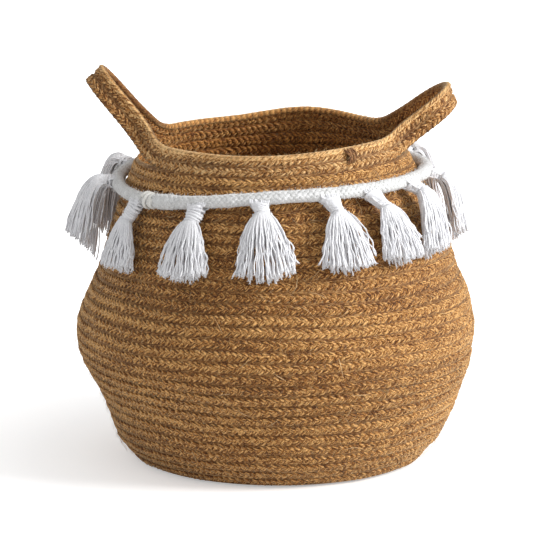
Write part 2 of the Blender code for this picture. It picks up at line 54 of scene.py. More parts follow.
# The camera stands in front of the basket and looks down on it a little, at the photograph's angle.
# The width is how much of the scene it sees at the basket's middle.
VIEW_ELEVATION = math.radians(11)
VIEW_DISTANCE = 2600 * MM
VIEW_WIDTH = 439.7 * MM
VIEW_MIDDLE = Vector((-9.6 * MM, 0, 157 * MM))

camera_data = bpy.data.cameras.new("photo_camera")
camera_data.lens = camera_data.sensor_width * VIEW_DISTANCE / VIEW_WIDTH
camera = bpy.data.objects.new("photo_camera", camera_data)
look_back = Vector((0, -math.cos(VIEW_ELEVATION), math.sin(VIEW_ELEVATION)))
camera.location = VIEW_MIDDLE + look_back * VIEW_DISTANCE
camera.rotation_euler = (math.pi / 2 - VIEW_ELEVATION, 0, 0)
bpy.context.scene.collection.objects.link(camera)
bpy.context.scene.camera = camera


# The foot: one flat plait of three jute strands, coiled from the middle outwards and sewn edge to edge.
# It lies flat on the floor, and its last turn climbs a little towards the wall's first row. Packed fibre
# fills the seam between the two, the heel.
FOOT_RADIUS = 119 * MM
FOOT_THICKNESS = 6.5 * MM
HEEL_SEAM_IN = 5.5 * MM
HEEL_SEAM_HALF_WIDTH = 6 * MM
HEEL_SEAM_HALF_THICKNESS = 2 * MM

# The coil starts a part of a turn from its middle, and runs on by a part past the foot's edge. Its end
# climbs: by how much, how many turns before the edge that starts, and over how many turns it goes on.
FOOT_FIRST_TURN = 0.45
FOOT_LAST_TURN = 0.2
FOOT_CLIMB = 2.5 * MM
FOOT_CLIMB_START = 0.3
FOOT_CLIMB_TURNS = 0.5
FOOT_CORE_EVERY = 4

# The plait is the same everywhere. A strand comes back to the same edge of it after one period, which is
# drawn in this many steps.
ROW_PITCH = 9.3 * MM
PLAIT_THICKNESS = 6 * MM
PLAIT_PERIOD = 15.4 * MM
PLAIT_STEPS = 9
STRANDS = 3

# A strand's oval section, its twist in turns for each metre, how much it overlaps the next row and sinks
# at the plait's edges, and the share of its thickness that is pressed in where its two yarns meet.
STRAND_SIDES = 8
STRAND_HALF_WIDTH = 2.2 * MM
STRAND_HALF_THICKNESS = 1.7 * MM
STRAND_TWIST = 40
STRAND_OVERLAP = 0.1 * MM
EDGE_SINK = 0.4 * MM
STRAND_SPLIT = 0.4
STRAND_TONES = (0.3, 0.7)
PLAIT_LIFT = PLAIT_THICKNESS / 2 - STRAND_HALF_THICKNESS

# How deep a strand is tucked under its neighbours, from 0 to 1, which its material paints as shade: its
# mean, and its swing each way.
TUCK_MIDDLE = 0.4
TUCK_SWING = 0.6

# Fibre packed between the strands: a flat core in the plait, and a rounder filling in each seam. Lying deep
# between the strands, it takes painted shade.
CORE_HALF_THICKNESS = 0.7 * MM
CORE_OVERLAP = 0.6 * MM
CORE_SIDES = 4
CORE_TONE = 0.3
SEAM_STEPS = 240
SEAM_SIDES = 6
SEAM_TONE = 0.5
PACKED_TUCK_SHADE = 0.8

# Each level of the wall's outside: the rise to it, its radius, and its handmade shift to the right. The
# climb along this outline, shared out in whole rows, gives the pitch of the plait in the foot as well.
WALL_LEVELS = (
    (0.5 * MM, FOOT_RADIUS, 0 * MM),
    (20 * MM, 135.5 * MM, 1.5 * MM),
    (30 * MM, 147.5 * MM, 3.5 * MM),
    (59 * MM, 165.5 * MM, -2.5 * MM),
    (56 * MM, 147 * MM, -1.5 * MM),
    (42 * MM, 133.5 * MM, -1.5 * MM),
    (29.5 * MM, 119.5 * MM, -5 * MM),
    (32.5 * MM, 106.5 * MM, -4.5 * MM),
)
LEVEL_STEPS = 16


def smooth_line(points, steps):
    """A smooth line through points, one row for each, with some steps between each two of them."""
    points = np.array(points, float)
    ways = np.diff(points, axis=0)
    gaps = np.linalg.norm(ways, axis=1)[:, None]
    runs = ways / gaps
    bends = (runs[:-1] * gaps[1:] + runs[1:] * gaps[:-1]) / (gaps[1:] + gaps[:-1])
    slopes = np.vstack([runs[:1], bends, runs[-1:]])
    line = []
    for i, gap in enumerate(gaps):
        t = np.arange(steps)[:, None] / steps
        line.append(
            points[i] * (2 * t**3 - 3 * t**2 + 1)
            + slopes[i] * gap * (t**3 - 2 * t**2 + t)
            + points[i + 1] * (3 * t**2 - 2 * t**3)
            + slopes[i + 1] * gap * (t**3 - t**2)
        )
    return np.vstack(line + [points[-1:]])


def distances_along(points):
    """How far along a line each of its points lies."""
    return np.concatenate([[0], np.cumsum(np.linalg.norm(np.diff(points, axis=0), axis=1))])


level_heights = np.cumsum([rise for rise, _, _ in WALL_LEVELS])
wall_line = smooth_line([(radius, height, shift) for height, (_, radius, shift)
                         in zip(level_heights, WALL_LEVELS)], LEVEL_STEPS)
wall_climbed = distances_along(wall_line)
WALL_ROWS = round(wall_climbed[-1] / ROW_PITCH)
row_pitch = wall_climbed[-1] / WALL_ROWS


def ease(share):
    """A smooth step from 0 to 1."""
    share = np.clip(share, 0, 1)
    return share * share * (3 - 2 * share)


def full_turn(steps):
    """Angles spread evenly once round."""
    return 2 * math.pi * np.arange(steps) / steps


def round_points(radius, angle, height):
    """Points or ways at angles round the basket's middle."""
    return np.stack(np.broadcast_arrays(radius * np.cos(angle), radius * np.sin(angle), height), axis=-1)


def unit(vectors):
    """Vectors made one long."""
    return vectors / np.linalg.norm(vectors, axis=-1, keepdims=True)


class StrandPiece:
    """A piece made of strands: tubes of oval section that each follow their own line.

    Every point keeps four things for its material: lay, the millimetres across, through and along its
    strand; tone, how light that strand is; tuck shade, the painted shade for how deep it lies under others;
    and crown, which is 1 on the strand's outer face, 0 at its edges and -1 underneath.
    """

    LAY_GAP = 37

    def __init__(self):
        self.points, self.faces, self.lay, self.tone, self.tuck, self.crown = [], [], [], [], [], []
        self.count = 0
        self.run = 0

    def add(self, line, outwards, half_width, half_thickness, sides, closed=False, twist=0, tone=0.5, tuck=0,
            split=0):
        """Add one strand along a line, flat towards the way outwards, with twist in turns for each metre.

        The split is how deep its middle is pressed in, where two yarns lie side by side in the strand. Each
        strand's lay starts a gap after the last one's end, so that no two strands have the same streaks.
        """
        line = np.asarray(line, float)
        n = len(line)
        if closed:
            ahead = unit(np.roll(line, -1, axis=0) - np.roll(line, 1, axis=0))
            along = distances_along(np.vstack([line, line[:1]]))[:-1]
        else:
            ahead = unit(np.gradient(line, axis=0))
            along = distances_along(line)
        outwards = np.broadcast_to(outwards, line.shape)
        rise = unit(outwards - ahead * np.sum(outwards * ahead, axis=1, keepdims=True))
        across = np.cross(rise, ahead)
        turned = full_turn(sides)
        wide = np.broadcast_to(half_width, n)[:, None] * np.cos(turned)
        pressed = 1 - split * np.sin(turned)**6
        thick = np.broadcast_to(half_thickness, n)[:, None] * np.sin(turned) * pressed
        rings = line[:, None] + across[:, None] * wide[..., None] + rise[:, None] * thick[..., None]
        twisted = 2 * math.pi * twist * along[:, None]
        lay = np.stack([
            (wide * np.cos(twisted) - thick * np.sin(twisted)) / MM,
            (wide * np.sin(twisted) + thick * np.cos(twisted)) / MM,
            np.broadcast_to(along[:, None] / MM + self.run, wide.shape),
        ], axis=-1)
        rows = n if closed else n - 1
        here = sides * np.arange(rows)[:, None] + np.arange(sides)
        beside = sides * np.arange(rows)[:, None] + np.roll(np.arange(sides), -1)
        quads = np.stack([here, beside, beside + sides, here + sides], axis=-1) % (sides * n) + self.count
        self.faces += quads.reshape(-1, 4).tolist()
        if not closed:
            self.faces.append([self.count + k for k in reversed(range(sides))])
            self.faces.append([self.count + sides * (n - 1) + k for k in range(sides)])
        self.points.append(rings.reshape(-1, 3))
        self.lay.append(lay.reshape(-1, 3))
        self.tone.append(np.repeat(np.broadcast_to(tone, n), sides))
        self.tuck.append(np.repeat(np.broadcast_to(tuck, n), sides))
        self.crown.append(np.tile(np.sin(turned), n))
        self.count += sides * n
        self.run += along[-1] / MM + self.LAY_GAP

    def add_plait_strand(self, line, outwards, half_width, tone, tuck, closed=False):
        """Add one of the three strands of the plait."""
        self.add(line, outwards, half_width, STRAND_HALF_THICKNESS, STRAND_SIDES, closed, STRAND_TWIST,
                 tone, tuck, STRAND_SPLIT)

    def add_core(self, line, outwards, half_width, closed=False):
        """Add the flat core of packed fibre that fills the middle of the plait."""
        self.add(line, outwards, half_width, CORE_HALF_THICKNESS, CORE_SIDES, closed, tone=CORE_TONE,
                 tuck=PACKED_TUCK_SHADE)

    def add_seam(self, line, outwards, half_width, half_thickness, tone, closed=False):
        """Add the fibre packed in a seam between two rows."""
        self.add(line, outwards, half_width, half_thickness, SEAM_SIDES, closed, STRAND_TWIST, tone,
                 PACKED_TUCK_SHADE)

    def finish(self, name, material):
        """Make the piece from its strands."""
        mesh = bpy.data.meshes.new(name)
        mesh.from_pydata(np.vstack(self.points).tolist(), [], self.faces)
        for label, kind, field, values in (
            ("lay", "FLOAT_VECTOR", "vector", np.vstack(self.lay)),
            ("tone", "FLOAT", "value", np.concatenate(self.tone)),
            ("tuck", "FLOAT", "value", np.concatenate(self.tuck)),
            ("crown", "FLOAT", "value", np.concatenate(self.crown)),
        ):
            attribute = mesh.attributes.new(label, kind, "POINT")
            attribute.data.foreach_set(field, values.astype(np.float32).ravel())
        mesh.shade_smooth()
        mesh.materials.append(material)
        piece = bpy.data.objects.new(name, mesh)
        bpy.context.scene.collection.objects.link(piece)
        return piece


def shader_node(tree, kind, inputs=None, **settings):
    """Add a shader node: its settings, and its inputs, each a value or another node's output."""
    node = tree.nodes.new(kind)
    for name, value in settings.items():
        setattr(node, name, value)
    for name, value in (inputs or {}).items():
        if isinstance(value, bpy.types.NodeSocket):
            tree.links.new(value, node.inputs[name])
        else:
            node.inputs[name].default_value = value
    return node


def math_node(tree, operation, first, *others):
    """Add nodes that work out one number from several, two at a time, and give the last one's output."""
    for other in others or (0,):
        first = shader_node(tree, "ShaderNodeMath", {0: first, 1: other}, operation=operation).outputs[0]
    return first


def vector_node(tree, operation, first, second):
    """Add a node that works out one vector from two, and give its output."""
    return shader_node(tree, "ShaderNodeVectorMath", {0: first, 1: second}, operation=operation).outputs[0]


def mix_colours(tree, share, first, second, blend="MIX"):
    """Add a node that mixes two colours, and give its output."""
    return shader_node(tree, "ShaderNodeMix", {0: share, 6: first, 7: second}, data_type="RGBA",
                       blend_type=blend).outputs[2]


def spread(tree, value, low, high, to_low=0.0, to_high=1.0):
    """Add a node that spreads a range of numbers over another, and give its output."""
    inputs = {"Value": value, "From Min": low, "From Max": high, "To Min": to_low, "To Max": to_high}
    return shader_node(tree, "ShaderNodeMapRange", inputs).outputs["Result"]


def kept_number(tree, name):
    """Add a node that reads a number that the strands' points keep, and give its output."""
    return shader_node(tree, "ShaderNodeAttribute", attribute_name=name).outputs["Fac"]


def new_group(name, inputs, output):
    """Start a node group that turns numbers into one: give its tree, its inputs and its output."""
    tree = bpy.data.node_groups.new(name, "ShaderNodeTree")
    for label, value in inputs.items():
        socket = tree.interface.new_socket(label, in_out="INPUT", socket_type="NodeSocketFloat")
        socket.default_value = value
    tree.interface.new_socket(output, in_out="OUTPUT", socket_type="NodeSocketFloat")
    return tree, tree.nodes.new("NodeGroupInput").outputs, tree.nodes.new("NodeGroupOutput").inputs[output]


# Fibres that run along a strand: long thin streaks in the strand's own lay.
fibre_group, fibre_in, streaks_out = new_group(
    "lengthwise_fibres", {"Width mm": 0.3, "Length mm": 6, "Detail": 2}, "Streaks")
fibre_lay = shader_node(fibre_group, "ShaderNodeAttribute", attribute_name="lay").outputs["Vector"]
fibre_size = shader_node(fibre_group, "ShaderNodeCombineXYZ",
                         {0: fibre_in["Width mm"], 1: fibre_in["Width mm"], 2: fibre_in["Length mm"]})
fibre_place = vector_node(fibre_group, "DIVIDE", fibre_lay, fibre_size.outputs[0])
fibre_noise = shader_node(fibre_group, "ShaderNodeTexNoise",
                          {"Vector": fibre_place, "Scale": 1, "Detail": fibre_in["Detail"]})
fibre_group.links.new(fibre_noise.outputs["Fac"], streaks_out)

# Patches where the fibre took more or less sun, dye or handling, across the whole basket.
patch_group, patch_in, patches_out = new_group(
    "uneven_patches", {"Size mm": 50, "Height share": 1}, "Patches")
patch_spot = shader_node(patch_group, "ShaderNodeTexCoord").outputs["Object"]
patch_inverse = math_node(patch_group, "DIVIDE", 1 / MM, patch_in["Size mm"])
patch_height = math_node(patch_group, "DIVIDE", patch_inverse, patch_in["Height share"])
patch_scale = shader_node(patch_group, "ShaderNodeCombineXYZ",
                          {0: patch_inverse, 1: patch_inverse, 2: patch_height})
patch_place = vector_node(patch_group, "MULTIPLY", patch_spot, patch_scale.outputs[0])
patch_noise = shader_node(patch_group, "ShaderNodeTexNoise",
                          {"Vector": patch_place, "Scale": 1, "Detail": 3})
patch_group.links.new(patch_noise.outputs["Fac"], patches_out)


def streaks(tree, width, length, detail):
    """Place the fibres' group in a material, its streaks so many millimetres wide and long."""
    inputs = {"Width mm": width, "Length mm": length, "Detail": detail}
    return shader_node(tree, "ShaderNodeGroup", inputs, node_tree=fibre_group).outputs["Streaks"]


def patches(tree, size, height_share):
    """Place the patches' group in a material, its patches so many millimetres wide."""
    inputs = {"Size mm": size, "Height share": height_share}
    return shader_node(tree, "ShaderNodeGroup", inputs, node_tree=patch_group).outputs["Patches"]


def new_material(name):
    """Start a material, and give it with its node tree and its shader."""
    material = bpy.data.materials.new(name)
    material.use_nodes = True
    return material, material.node_tree, material.node_tree.nodes["Principled BSDF"]


def set_finish(shader, values):
    """Set numbers and colours that are the same all over the surface on the shader's own sockets."""
    for name, value in values.items():
        shader.inputs[name].default_value = value


# The side that faces into the basket is painted darker and warmer, as the shade inside the basket. Then how
# light the fibre is without its streaks, and how much of the deep colour the painted shade in the deepest
# crease takes.
INSIDE_PAINTED_SHADE = (0.90, 0.75, 0.54, 1)
JUTE_LIGHTNESS = 0.64
DEEPEST_CREASE_SHADE = 0.95


def make_jute(name, deep, middle, light, roughness):
    """Dry jute: golden brown fibres, pale and dark streaks, painted shade in the creases between strands.

    A strand's tone makes it lighter, and one with a tone above 1 takes no painted crease shade.
    """
    material, tree, shader = new_material(name)
    fine = streaks(tree, 0.8, 9, 1)
    broad = streaks(tree, 1.2, 8, 2)
    weathered = patches(tree, 40, 0.3)
    flecks = patches(tree, 3.2, 0.7)
    specks = patches(tree, 1.1, 1)
    tone, tuck, crown = [kept_number(tree, label) for label in ("tone", "tuck", "crown")]

    # How light the fibre is, and its colour from that.
    streaky = math_node(tree, "ADD", spread(tree, fine, 0.3, 0.7, -0.6, 0.6),
                        spread(tree, broad, 0.32, 0.68, -0.16, 0.16),
                        spread(tree, specks, 0.3, 0.6, 0.22, -0.22))
    uneven = math_node(tree, "ADD", spread(tree, weathered, 0.3, 0.7, -0.12, 0.12),
                       spread(tree, tone, 0, 2, -0.2, 0.6),
                       spread(tree, flecks, 0.3, 0.7, -0.12, 0.12))
    lightness = math_node(tree, "ADD", streaky, uneven, JUTE_LIGHTNESS)
    darker = mix_colours(tree, spread(tree, lightness, 0, 0.5), deep, middle)
    colour = mix_colours(tree, spread(tree, lightness, 0.5, 1), darker, light)

    # From inside the basket, what ran under its neighbours runs over them, so the tuck shade is turned
    # round.
    inside = math_node(tree, "LESS_THAN", crown, 0)
    other_way = math_node(tree, "SUBTRACT", 2 * TUCK_MIDDLE, spread(tree, tuck, 0, 1, 0, 2))
    tuck = math_node(tree, "ADD", tuck, math_node(tree, "MULTIPLY", inside, other_way))

    # Painted shade in the creases: a strand's edges, where it is tucked under, the slit between its yarns,
    # and pits.
    crown = math_node(tree, "ABSOLUTE", crown)
    slit = math_node(tree, "MULTIPLY", spread(tree, crown, 0.75, 0.97),
                     spread(tree, fine, 0.35, 0.6, 0.9, 0.4))
    edges = math_node(tree, "MAXIMUM", spread(tree, crown, 0.1, 0.85, 1, 0), spread(tree, tuck, 0.3, 0.9))
    edges = math_node(tree, "MULTIPLY", edges, spread(tree, flecks, 0.35, 0.65, 1, 0.75))
    pits = spread(tree, specks, 0.56, 0.68, 0, 0.75)
    crease_shade = math_node(tree, "MAXIMUM", edges, slit, pits)
    crease_shade = math_node(tree, "MULTIPLY", crease_shade, spread(tree, tone, 1, 1.2, 1, 0))
    colour = mix_colours(tree, spread(tree, crease_shade, 0, 1, 0, DEEPEST_CREASE_SHADE), colour, deep)
    # The inside of the basket is painted darker and warmer, as its shade.
    colour = mix_colours(tree, inside, colour, INSIDE_PAINTED_SHADE, "MULTIPLY")
    tree.links.new(colour, shader.inputs["Base Color"])
    fibre_roughness = spread(tree, fine, 0.3, 0.7, roughness + 0.08, roughness - 0.12)
    tree.links.new(fibre_roughness, shader.inputs["Roughness"])
    bump = shader_node(tree, "ShaderNodeBump", {"Height": fine, "Distance": 0.8 * MM, "Strength": 1})
    tree.links.new(bump.outputs["Normal"], shader.inputs["Normal"])
    set_finish(shader, {"Specular IOR Level": 0.3, "Sheen Weight": 0.5, "Sheen Roughness": 0.45,
                        "Sheen Tint": (0.98, 0.76, 0.44, 1)})
    return material


wall_jute = make_jute("wall_jute", (0.070, 0.020, 0.003, 1), (0.43, 0.170, 0.030, 1),
                      (0.90, 0.51, 0.18, 1), 0.70)
shades = random.Random(7)


def weave(phase):
    """How far a plait's strand stands across the plait, and out of it, at a phase of its weave.

    The wave across is flattened where the strand turns back at the edge, and 0.9 gives it its full swing.
    """
    swing = row_pitch / 2 - STRAND_HALF_WIDTH + STRAND_OVERLAP
    across = swing * 0.9 * (np.sin(phase) - np.sin(3 * phase) / 9)
    return across, PLAIT_LIFT * np.sin(2 * phase) - EDGE_SINK * np.sin(phase)**4


def tucked(phase):
    """How deep a strand of the plait runs under its neighbours, seen from outside, from 0 to 1."""
    return np.clip(TUCK_MIDDLE - TUCK_SWING * np.sin(2 * phase), 0, 1)


foot = StrandPiece()
foot_rows = round(FOOT_RADIUS / row_pitch)
foot_pitch = FOOT_RADIUS / foot_rows
first_run = foot_pitch * FOOT_FIRST_TURN**2 * math.pi
last_run = foot_pitch * (foot_rows + FOOT_LAST_TURN)**2 * math.pi
foot_periods = round((last_run - first_run) / PLAIT_PERIOD)
run = np.linspace(first_run, last_run, foot_periods * PLAIT_STEPS + 1)
turn = 2 * math.pi * np.sqrt(run / math.pi / foot_pitch)
coil_radius = foot_pitch * turn / (2 * math.pi) - foot_pitch / 2
climbing = ease((turn / (2 * math.pi) - foot_rows + FOOT_CLIMB_START) / FOOT_CLIMB_TURNS)
DOWN = (0, 0, -1)
for strand in range(STRANDS):
    phase = (run - first_run) / PLAIT_PERIOD * 2 * math.pi + 2 * math.pi * strand / STRANDS
    across, through = weave(phase)
    height = FOOT_THICKNESS / 2 - np.minimum(through, PLAIT_LIFT) + FOOT_CLIMB * climbing
    foot.add_plait_strand(round_points(coil_radius + across, turn, height), DOWN, STRAND_HALF_WIDTH,
                          shades.uniform(*STRAND_TONES), tucked(phase))
core_line = round_points(coil_radius, turn, FOOT_THICKNESS / 2)[::FOOT_CORE_EVERY]
foot.add_core(core_line, DOWN, foot_pitch / 2 + CORE_OVERLAP)
heel_line = round_points(FOOT_RADIUS - HEEL_SEAM_IN, full_turn(SEAM_STEPS), FOOT_THICKNESS / 2)
foot.add_seam(heel_line, DOWN, HEEL_SEAM_HALF_WIDTH, HEEL_SEAM_HALF_THICKNESS, SEAM_TONE, closed=True)
foot_coil = foot.finish("foot_coil", wall_jute)
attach(foot_coil, "basket")
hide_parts("base_coil")


# The wall: the same plait sewn row on row, out over the belly, in over the shoulder and up into the neck.
# Every row wavers a little and stands a little in or out of its neighbours, as a hand-guided seam leaves
# it. A flat core stands in each row and a rounder one along each seam, for the fibre packed in there.
BELLY_ROW = 13
SLOPE_ROW = 24
RIM_ROWS = 2
RIM_ROW = WALL_ROWS - RIM_ROWS
WALL_PIECES = (
    ("heel_rows", 0, 5, "lower_wall"),
    ("under_belly_rows", 5, 9, "lower_wall"),
    ("belly_rows", 9, BELLY_ROW, "lower_wall"),
    ("shoulder_rows", BELLY_ROW, 19, "shoulder_wall"),
    ("slope_rows", 19, SLOPE_ROW, "shoulder_wall"),
    ("neck_rows", SLOPE_ROW, RIM_ROW, "neck_wall"),
)

# The whole wall climbs a little towards the right, fully from this height up. The rim rises at the back and
# dips in front: how much, at which angle from +X, and how far it reaches to each side.
ROW_CLIMB = 0.03
CLIMB_FULL_HEIGHT = 50 * MM
RIM_RISES = (
    (5.5 * MM, math.radians(74), math.radians(37)),
    (-3.2 * MM, math.radians(-95), math.radians(60)),
)
NECK_LEVEL = 6
neck_climb = wall_climbed[NECK_LEVEL * LEVEL_STEPS]

# The belly's rows lie level though the neck climbs: by how much, and the climbs where that starts and ends.
ROW_LEVELLING = 0.035
LEVEL_CLIMBS = (0, 60 * MM, 150 * MM, 245 * MM)

# How uneven the handwork is: how far a row strays up and down, stands in or out and swells, how far its
# crossings run ahead or lag in radians, how much wider or narrower a strand gets, and how light rows are,
# and strands beside that.
ROW_WAVE = 0.85 * MM
ROW_STEP = 0.4 * MM
ROW_SWELL = 0.3 * MM
CROSSING_DRIFTS = (0.8, 0.5)
STRAND_SWELL = 0.12
ROW_TONES = (0.3, 0.72)
STRAND_TONE_STEP = 0.25

# The seams: the packed fibre's section, how much painted shade they take on average, how far long and short
# waves round the basket change that, and what share of it shows on the wall. Then how coarse the core is,
# and how far it stays inside the row's edges.
SEAM_HALF_WIDTH = 2.3 * MM
SEAM_HALF_THICKNESS = 0.8 * MM
SEAM_SHADE = 0.38
SEAM_LONG_WAVE = 0.28
SEAM_SHORT_WAVE = 0.34
WALL_SEAM_SHADE = 0.55
CORE_EVERY = 3
CORE_MARGIN = 0.5 * MM


def from_front(degrees):
    """An angle from +X in radians, for one counted in degrees from the front towards the right."""
    return math.radians(degrees - 90)


def nearness(angle, middle, reach):
    """How near an angle is to a middle one: 1 there, easing to 0 at a reach to each side."""
    turned = (angle - middle + math.pi) % (2 * math.pi) - math.pi
    return ease(1 - abs(turned) / reach)


def wall_at(climb):
    """Radius, height and shift of the wall's outside at a distance climbed along it."""
    return [np.interp(climb, wall_climbed, wall_line[:, k]) for k in range(3)]


def wall_slope(climb):
    """The way up the wall: its unit step outwards and upwards."""
    near = 2 * MM
    climb = np.clip(climb, near, wall_climbed[-1] - near)
    above, below = wall_at(climb + near), wall_at(climb - near)
    outwards, upwards = above[0] - below[0], above[1] - below[1]
    size = np.hypot(outwards, upwards)
    return outwards / size, upwards / size


def on_wall(angle, climb, proud):
    """Points that stand proud of the wall's outside, at angles round the basket from +X."""
    radius, height, shift = wall_at(climb)
    outwards, upwards = wall_slope(climb)
    radius = radius + proud * upwards
    height = height - proud * outwards
    x = radius * np.cos(angle) + shift
    height = height + ROW_CLIMB * x * np.clip(height / CLIMB_FULL_HEIGHT, 0, 1)
    rise = sum(size * nearness(angle, middle, reach) for size, middle, reach in RIM_RISES)
    height = height + rise * ease((climb - neck_climb) / (wall_climbed[-1] - neck_climb))
    return np.stack(np.broadcast_arrays(x, radius * np.sin(angle), height), axis=-1)


def out_of_wall(angle, climb):
    """The way straight out of the wall."""
    outwards, upwards = wall_slope(climb)
    return round_points(upwards, angle, -outwards)


def on_row(angle, climb, across, proud):
    """Points across a wall row whose middle is at a climb, and how many times wider the row is there."""
    start, full, fading, end = LEVEL_CLIMBS

    def levelled(climb):
        """A climb with the belly's rows brought level."""
        share = ease((climb - start) / (full - start)) * ease((end - climb) / (end - fading))
        return climb - ROW_LEVELLING * share * wall_at(climb)[0] * np.cos(angle)

    below = on_wall(angle, levelled(climb - row_pitch / 2), 0)
    above = on_wall(angle, levelled(climb + row_pitch / 2), 0)
    widened = np.linalg.norm(above - below, axis=-1) / row_pitch
    return on_wall(angle, levelled(climb) + across * widened, proud), widened


def row_wander(angle, row):
    """How far a row strays up or down on its way round. The foot and the rim hold the rows next to them."""
    wander = ROW_WAVE * (np.sin(3 * angle + 0.35 * row + 1) + 0.6 * np.sin(7 * angle - 0.5 * row + 2))
    return wander * ease(row / 3) * ease((RIM_ROW - 1 - row) / 2)


def seam_shade(angle, row):
    """How much painted shade the seam under a row takes on its way round."""
    long_wave = SEAM_LONG_WAVE * np.sin(5 * angle + 2.1 * row)
    short_wave = SEAM_SHORT_WAVE * np.sin(13 * angle - 1.3 * row)
    return np.clip(SEAM_SHADE + long_wave + short_wave, 0, 1)


def add_wall_seam(piece, row):
    """The fibre packed in the seam under a row."""
    angle = full_turn(SEAM_STEPS)
    climb = row * row_pitch
    line, widened = on_row(angle, climb, row_wander(angle, row), -PLAIT_THICKNESS / 2)
    piece.add_seam(line, out_of_wall(angle, climb), SEAM_HALF_WIDTH * widened, SEAM_HALF_THICKNESS,
                   shades.uniform(*STRAND_TONES), closed=True)


def add_wall_row(piece, row):
    """One turn of plait round the wall. Whole numbers of waves go round it, and differ from row to row."""
    climb = (row + 0.5) * row_pitch
    periods = round(2 * math.pi * float(wall_at(climb)[0]) / PLAIT_PERIOD)
    steps = periods * PLAIT_STEPS
    start = shades.uniform(0, 2 * math.pi)
    step_out = shades.uniform(-ROW_STEP, ROW_STEP)
    row_tone = shades.uniform(*ROW_TONES)
    angle = start + full_turn(steps)
    wander = row_wander(angle, row)
    swell = ROW_SWELL * np.sin(11 * angle + 1.7 * row)
    long_drift, short_drift = CROSSING_DRIFTS
    drift = long_drift * np.sin(9 * angle + 2.3 * row) + short_drift * np.sin(19 * angle + 1.1 * row)
    outwards = out_of_wall(angle, climb)
    for strand in range(STRANDS):
        phase = 2 * math.pi * (periods * np.arange(steps) / steps + strand / STRANDS) + drift
        across, through = weave(-phase)
        swollen = 1 + STRAND_SWELL * np.sin(23 * angle + 2 * strand + row)
        proud = through - PLAIT_THICKNESS / 2 + step_out + swell
        line, widened = on_row(angle, climb, wander + across, proud)
        in_seam = WALL_SEAM_SHADE * seam_shade(angle, row + (across > 0)) * np.sin(phase)**2
        tone = row_tone + shades.uniform(-STRAND_TONE_STEP, STRAND_TONE_STEP)
        piece.add_plait_strand(line, outwards, STRAND_HALF_WIDTH * widened * swollen, tone,
                               tucked(-phase) + in_seam, closed=True)
    line, widened = on_row(angle, climb, wander, step_out - PLAIT_THICKNESS / 2)
    half_width = row_pitch / 2 * widened - CORE_MARGIN
    piece.add_core(line[::CORE_EVERY], outwards[::CORE_EVERY], half_width[::CORE_EVERY], closed=True)


for name, first_row, last_row, node in WALL_PIECES:
    rows = StrandPiece()
    for row in range(first_row, last_row):
        add_wall_row(rows, row)
        add_wall_seam(rows, row + 1)
    wall_piece = rows.finish(name, wall_jute)
    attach(wall_piece, "basket")
    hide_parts(node)


# The rim and the handles: two rows of plait sewn edge to edge, one strap that runs round the whole mouth.
# It is sewn to the neck in front and behind, and stands free in a soft loop at each side. Its strands
# turn over along its top edge in a rounded bead, painted pale as a highlight where its top faces the light.
HANDLE_ROOT = 60 * MM
HANDLE_BEND = 9 * MM
HANDLE_TWIST = 24 * MM
TIP_START = 0.7

# A handle from above: shares of its reach, each with how far apart its arms are there. On the arms that is
# 1 at the roots and 0 where the loop's own width is reached, and at the loop's end a share of that width.
ARM_CLOSING = ((0, 1), (0.12, 0.72), (0.28, 0.30), (0.48, 0.06), (0.70, 0))
LOOP_END = ((0.88, 0.72), (0.97, 0.35), (1, 0))

# For each handle: its side, its reach from the rim, half the gap in its loop, how steeply it stands, and
# how far the strap turns over towards its tip.
HANDLES = {
    "left": (-1, 85 * MM, 18 * MM, math.radians(49.5), 0),
    "right": (1, 70 * MM, 34 * MM, math.radians(36), math.radians(12)),
}
BEND_STEPS = 200
ARM_STEPS = 16
ARC_STEPS = 160
STRAP_STEP = PLAIT_PERIOD / PLAIT_STEPS
STRAP_SOFTNESS = 3
STRAP_DRIFTS = (0.4, 0.2)
STRAP_SEAM_SHADE = 1.2

# The handles are darker than the rim, easing in away from their roots: by how much, over how far from the
# roots, and what share of it shows on the bead.
HANDLE_DARKENING = 0.5
HANDLE_DARKENING_REACH = 40 * MM
HANDLE_DARKENING_ON_BEAD = 0.8
EDGE_BEAD_IN = 1.6 * MM
EDGE_BEAD_HALF_HEIGHT = 2.5 * MM
EDGE_BEAD_HALF_THICKNESS = 3.1 * MM
BEAD_LUMPS = 0.05
BEAD_HIGHLIGHT_TONE = 1.1
BEAD_HIGHLIGHT_STEP = 0.12

rim_jute = make_jute("rim_jute", (0.085, 0.025, 0.004, 1), (0.54, 0.235, 0.052, 1),
                     (0.96, 0.62, 0.28, 1), 0.70)
rim_middle = (RIM_ROW + RIM_ROWS / 2) * row_pitch
row_offsets = [(row + 0.5 - RIM_ROWS / 2) * row_pitch for row in range(RIM_ROWS)]
rim_outwards, rim_upwards = wall_slope(rim_middle)
rim_tilt = math.atan2(-rim_outwards, rim_upwards)


def rim_arc(first, last):
    """The strap along the rim between two angles: each row's middle, the way up, and the way outwards."""
    angle = np.linspace(first, last, ARC_STEPS)
    rows = [on_wall(angle, rim_middle + offset, -PLAIT_THICKNESS / 2) for offset in row_offsets]
    return *rows, round_points(rim_outwards, angle, rim_upwards), out_of_wall(angle, rim_middle)


def root_angle(side, end):
    """Where an arm leaves the rim: side is -1 at the left, end is -1 in front."""
    radius = float(wall_at(rim_middle)[0]) - PLAIT_THICKNESS / 2 * rim_upwards
    turned = math.asin(HANDLE_ROOT / radius)
    return end * (turned if side > 0 else math.pi - turned)


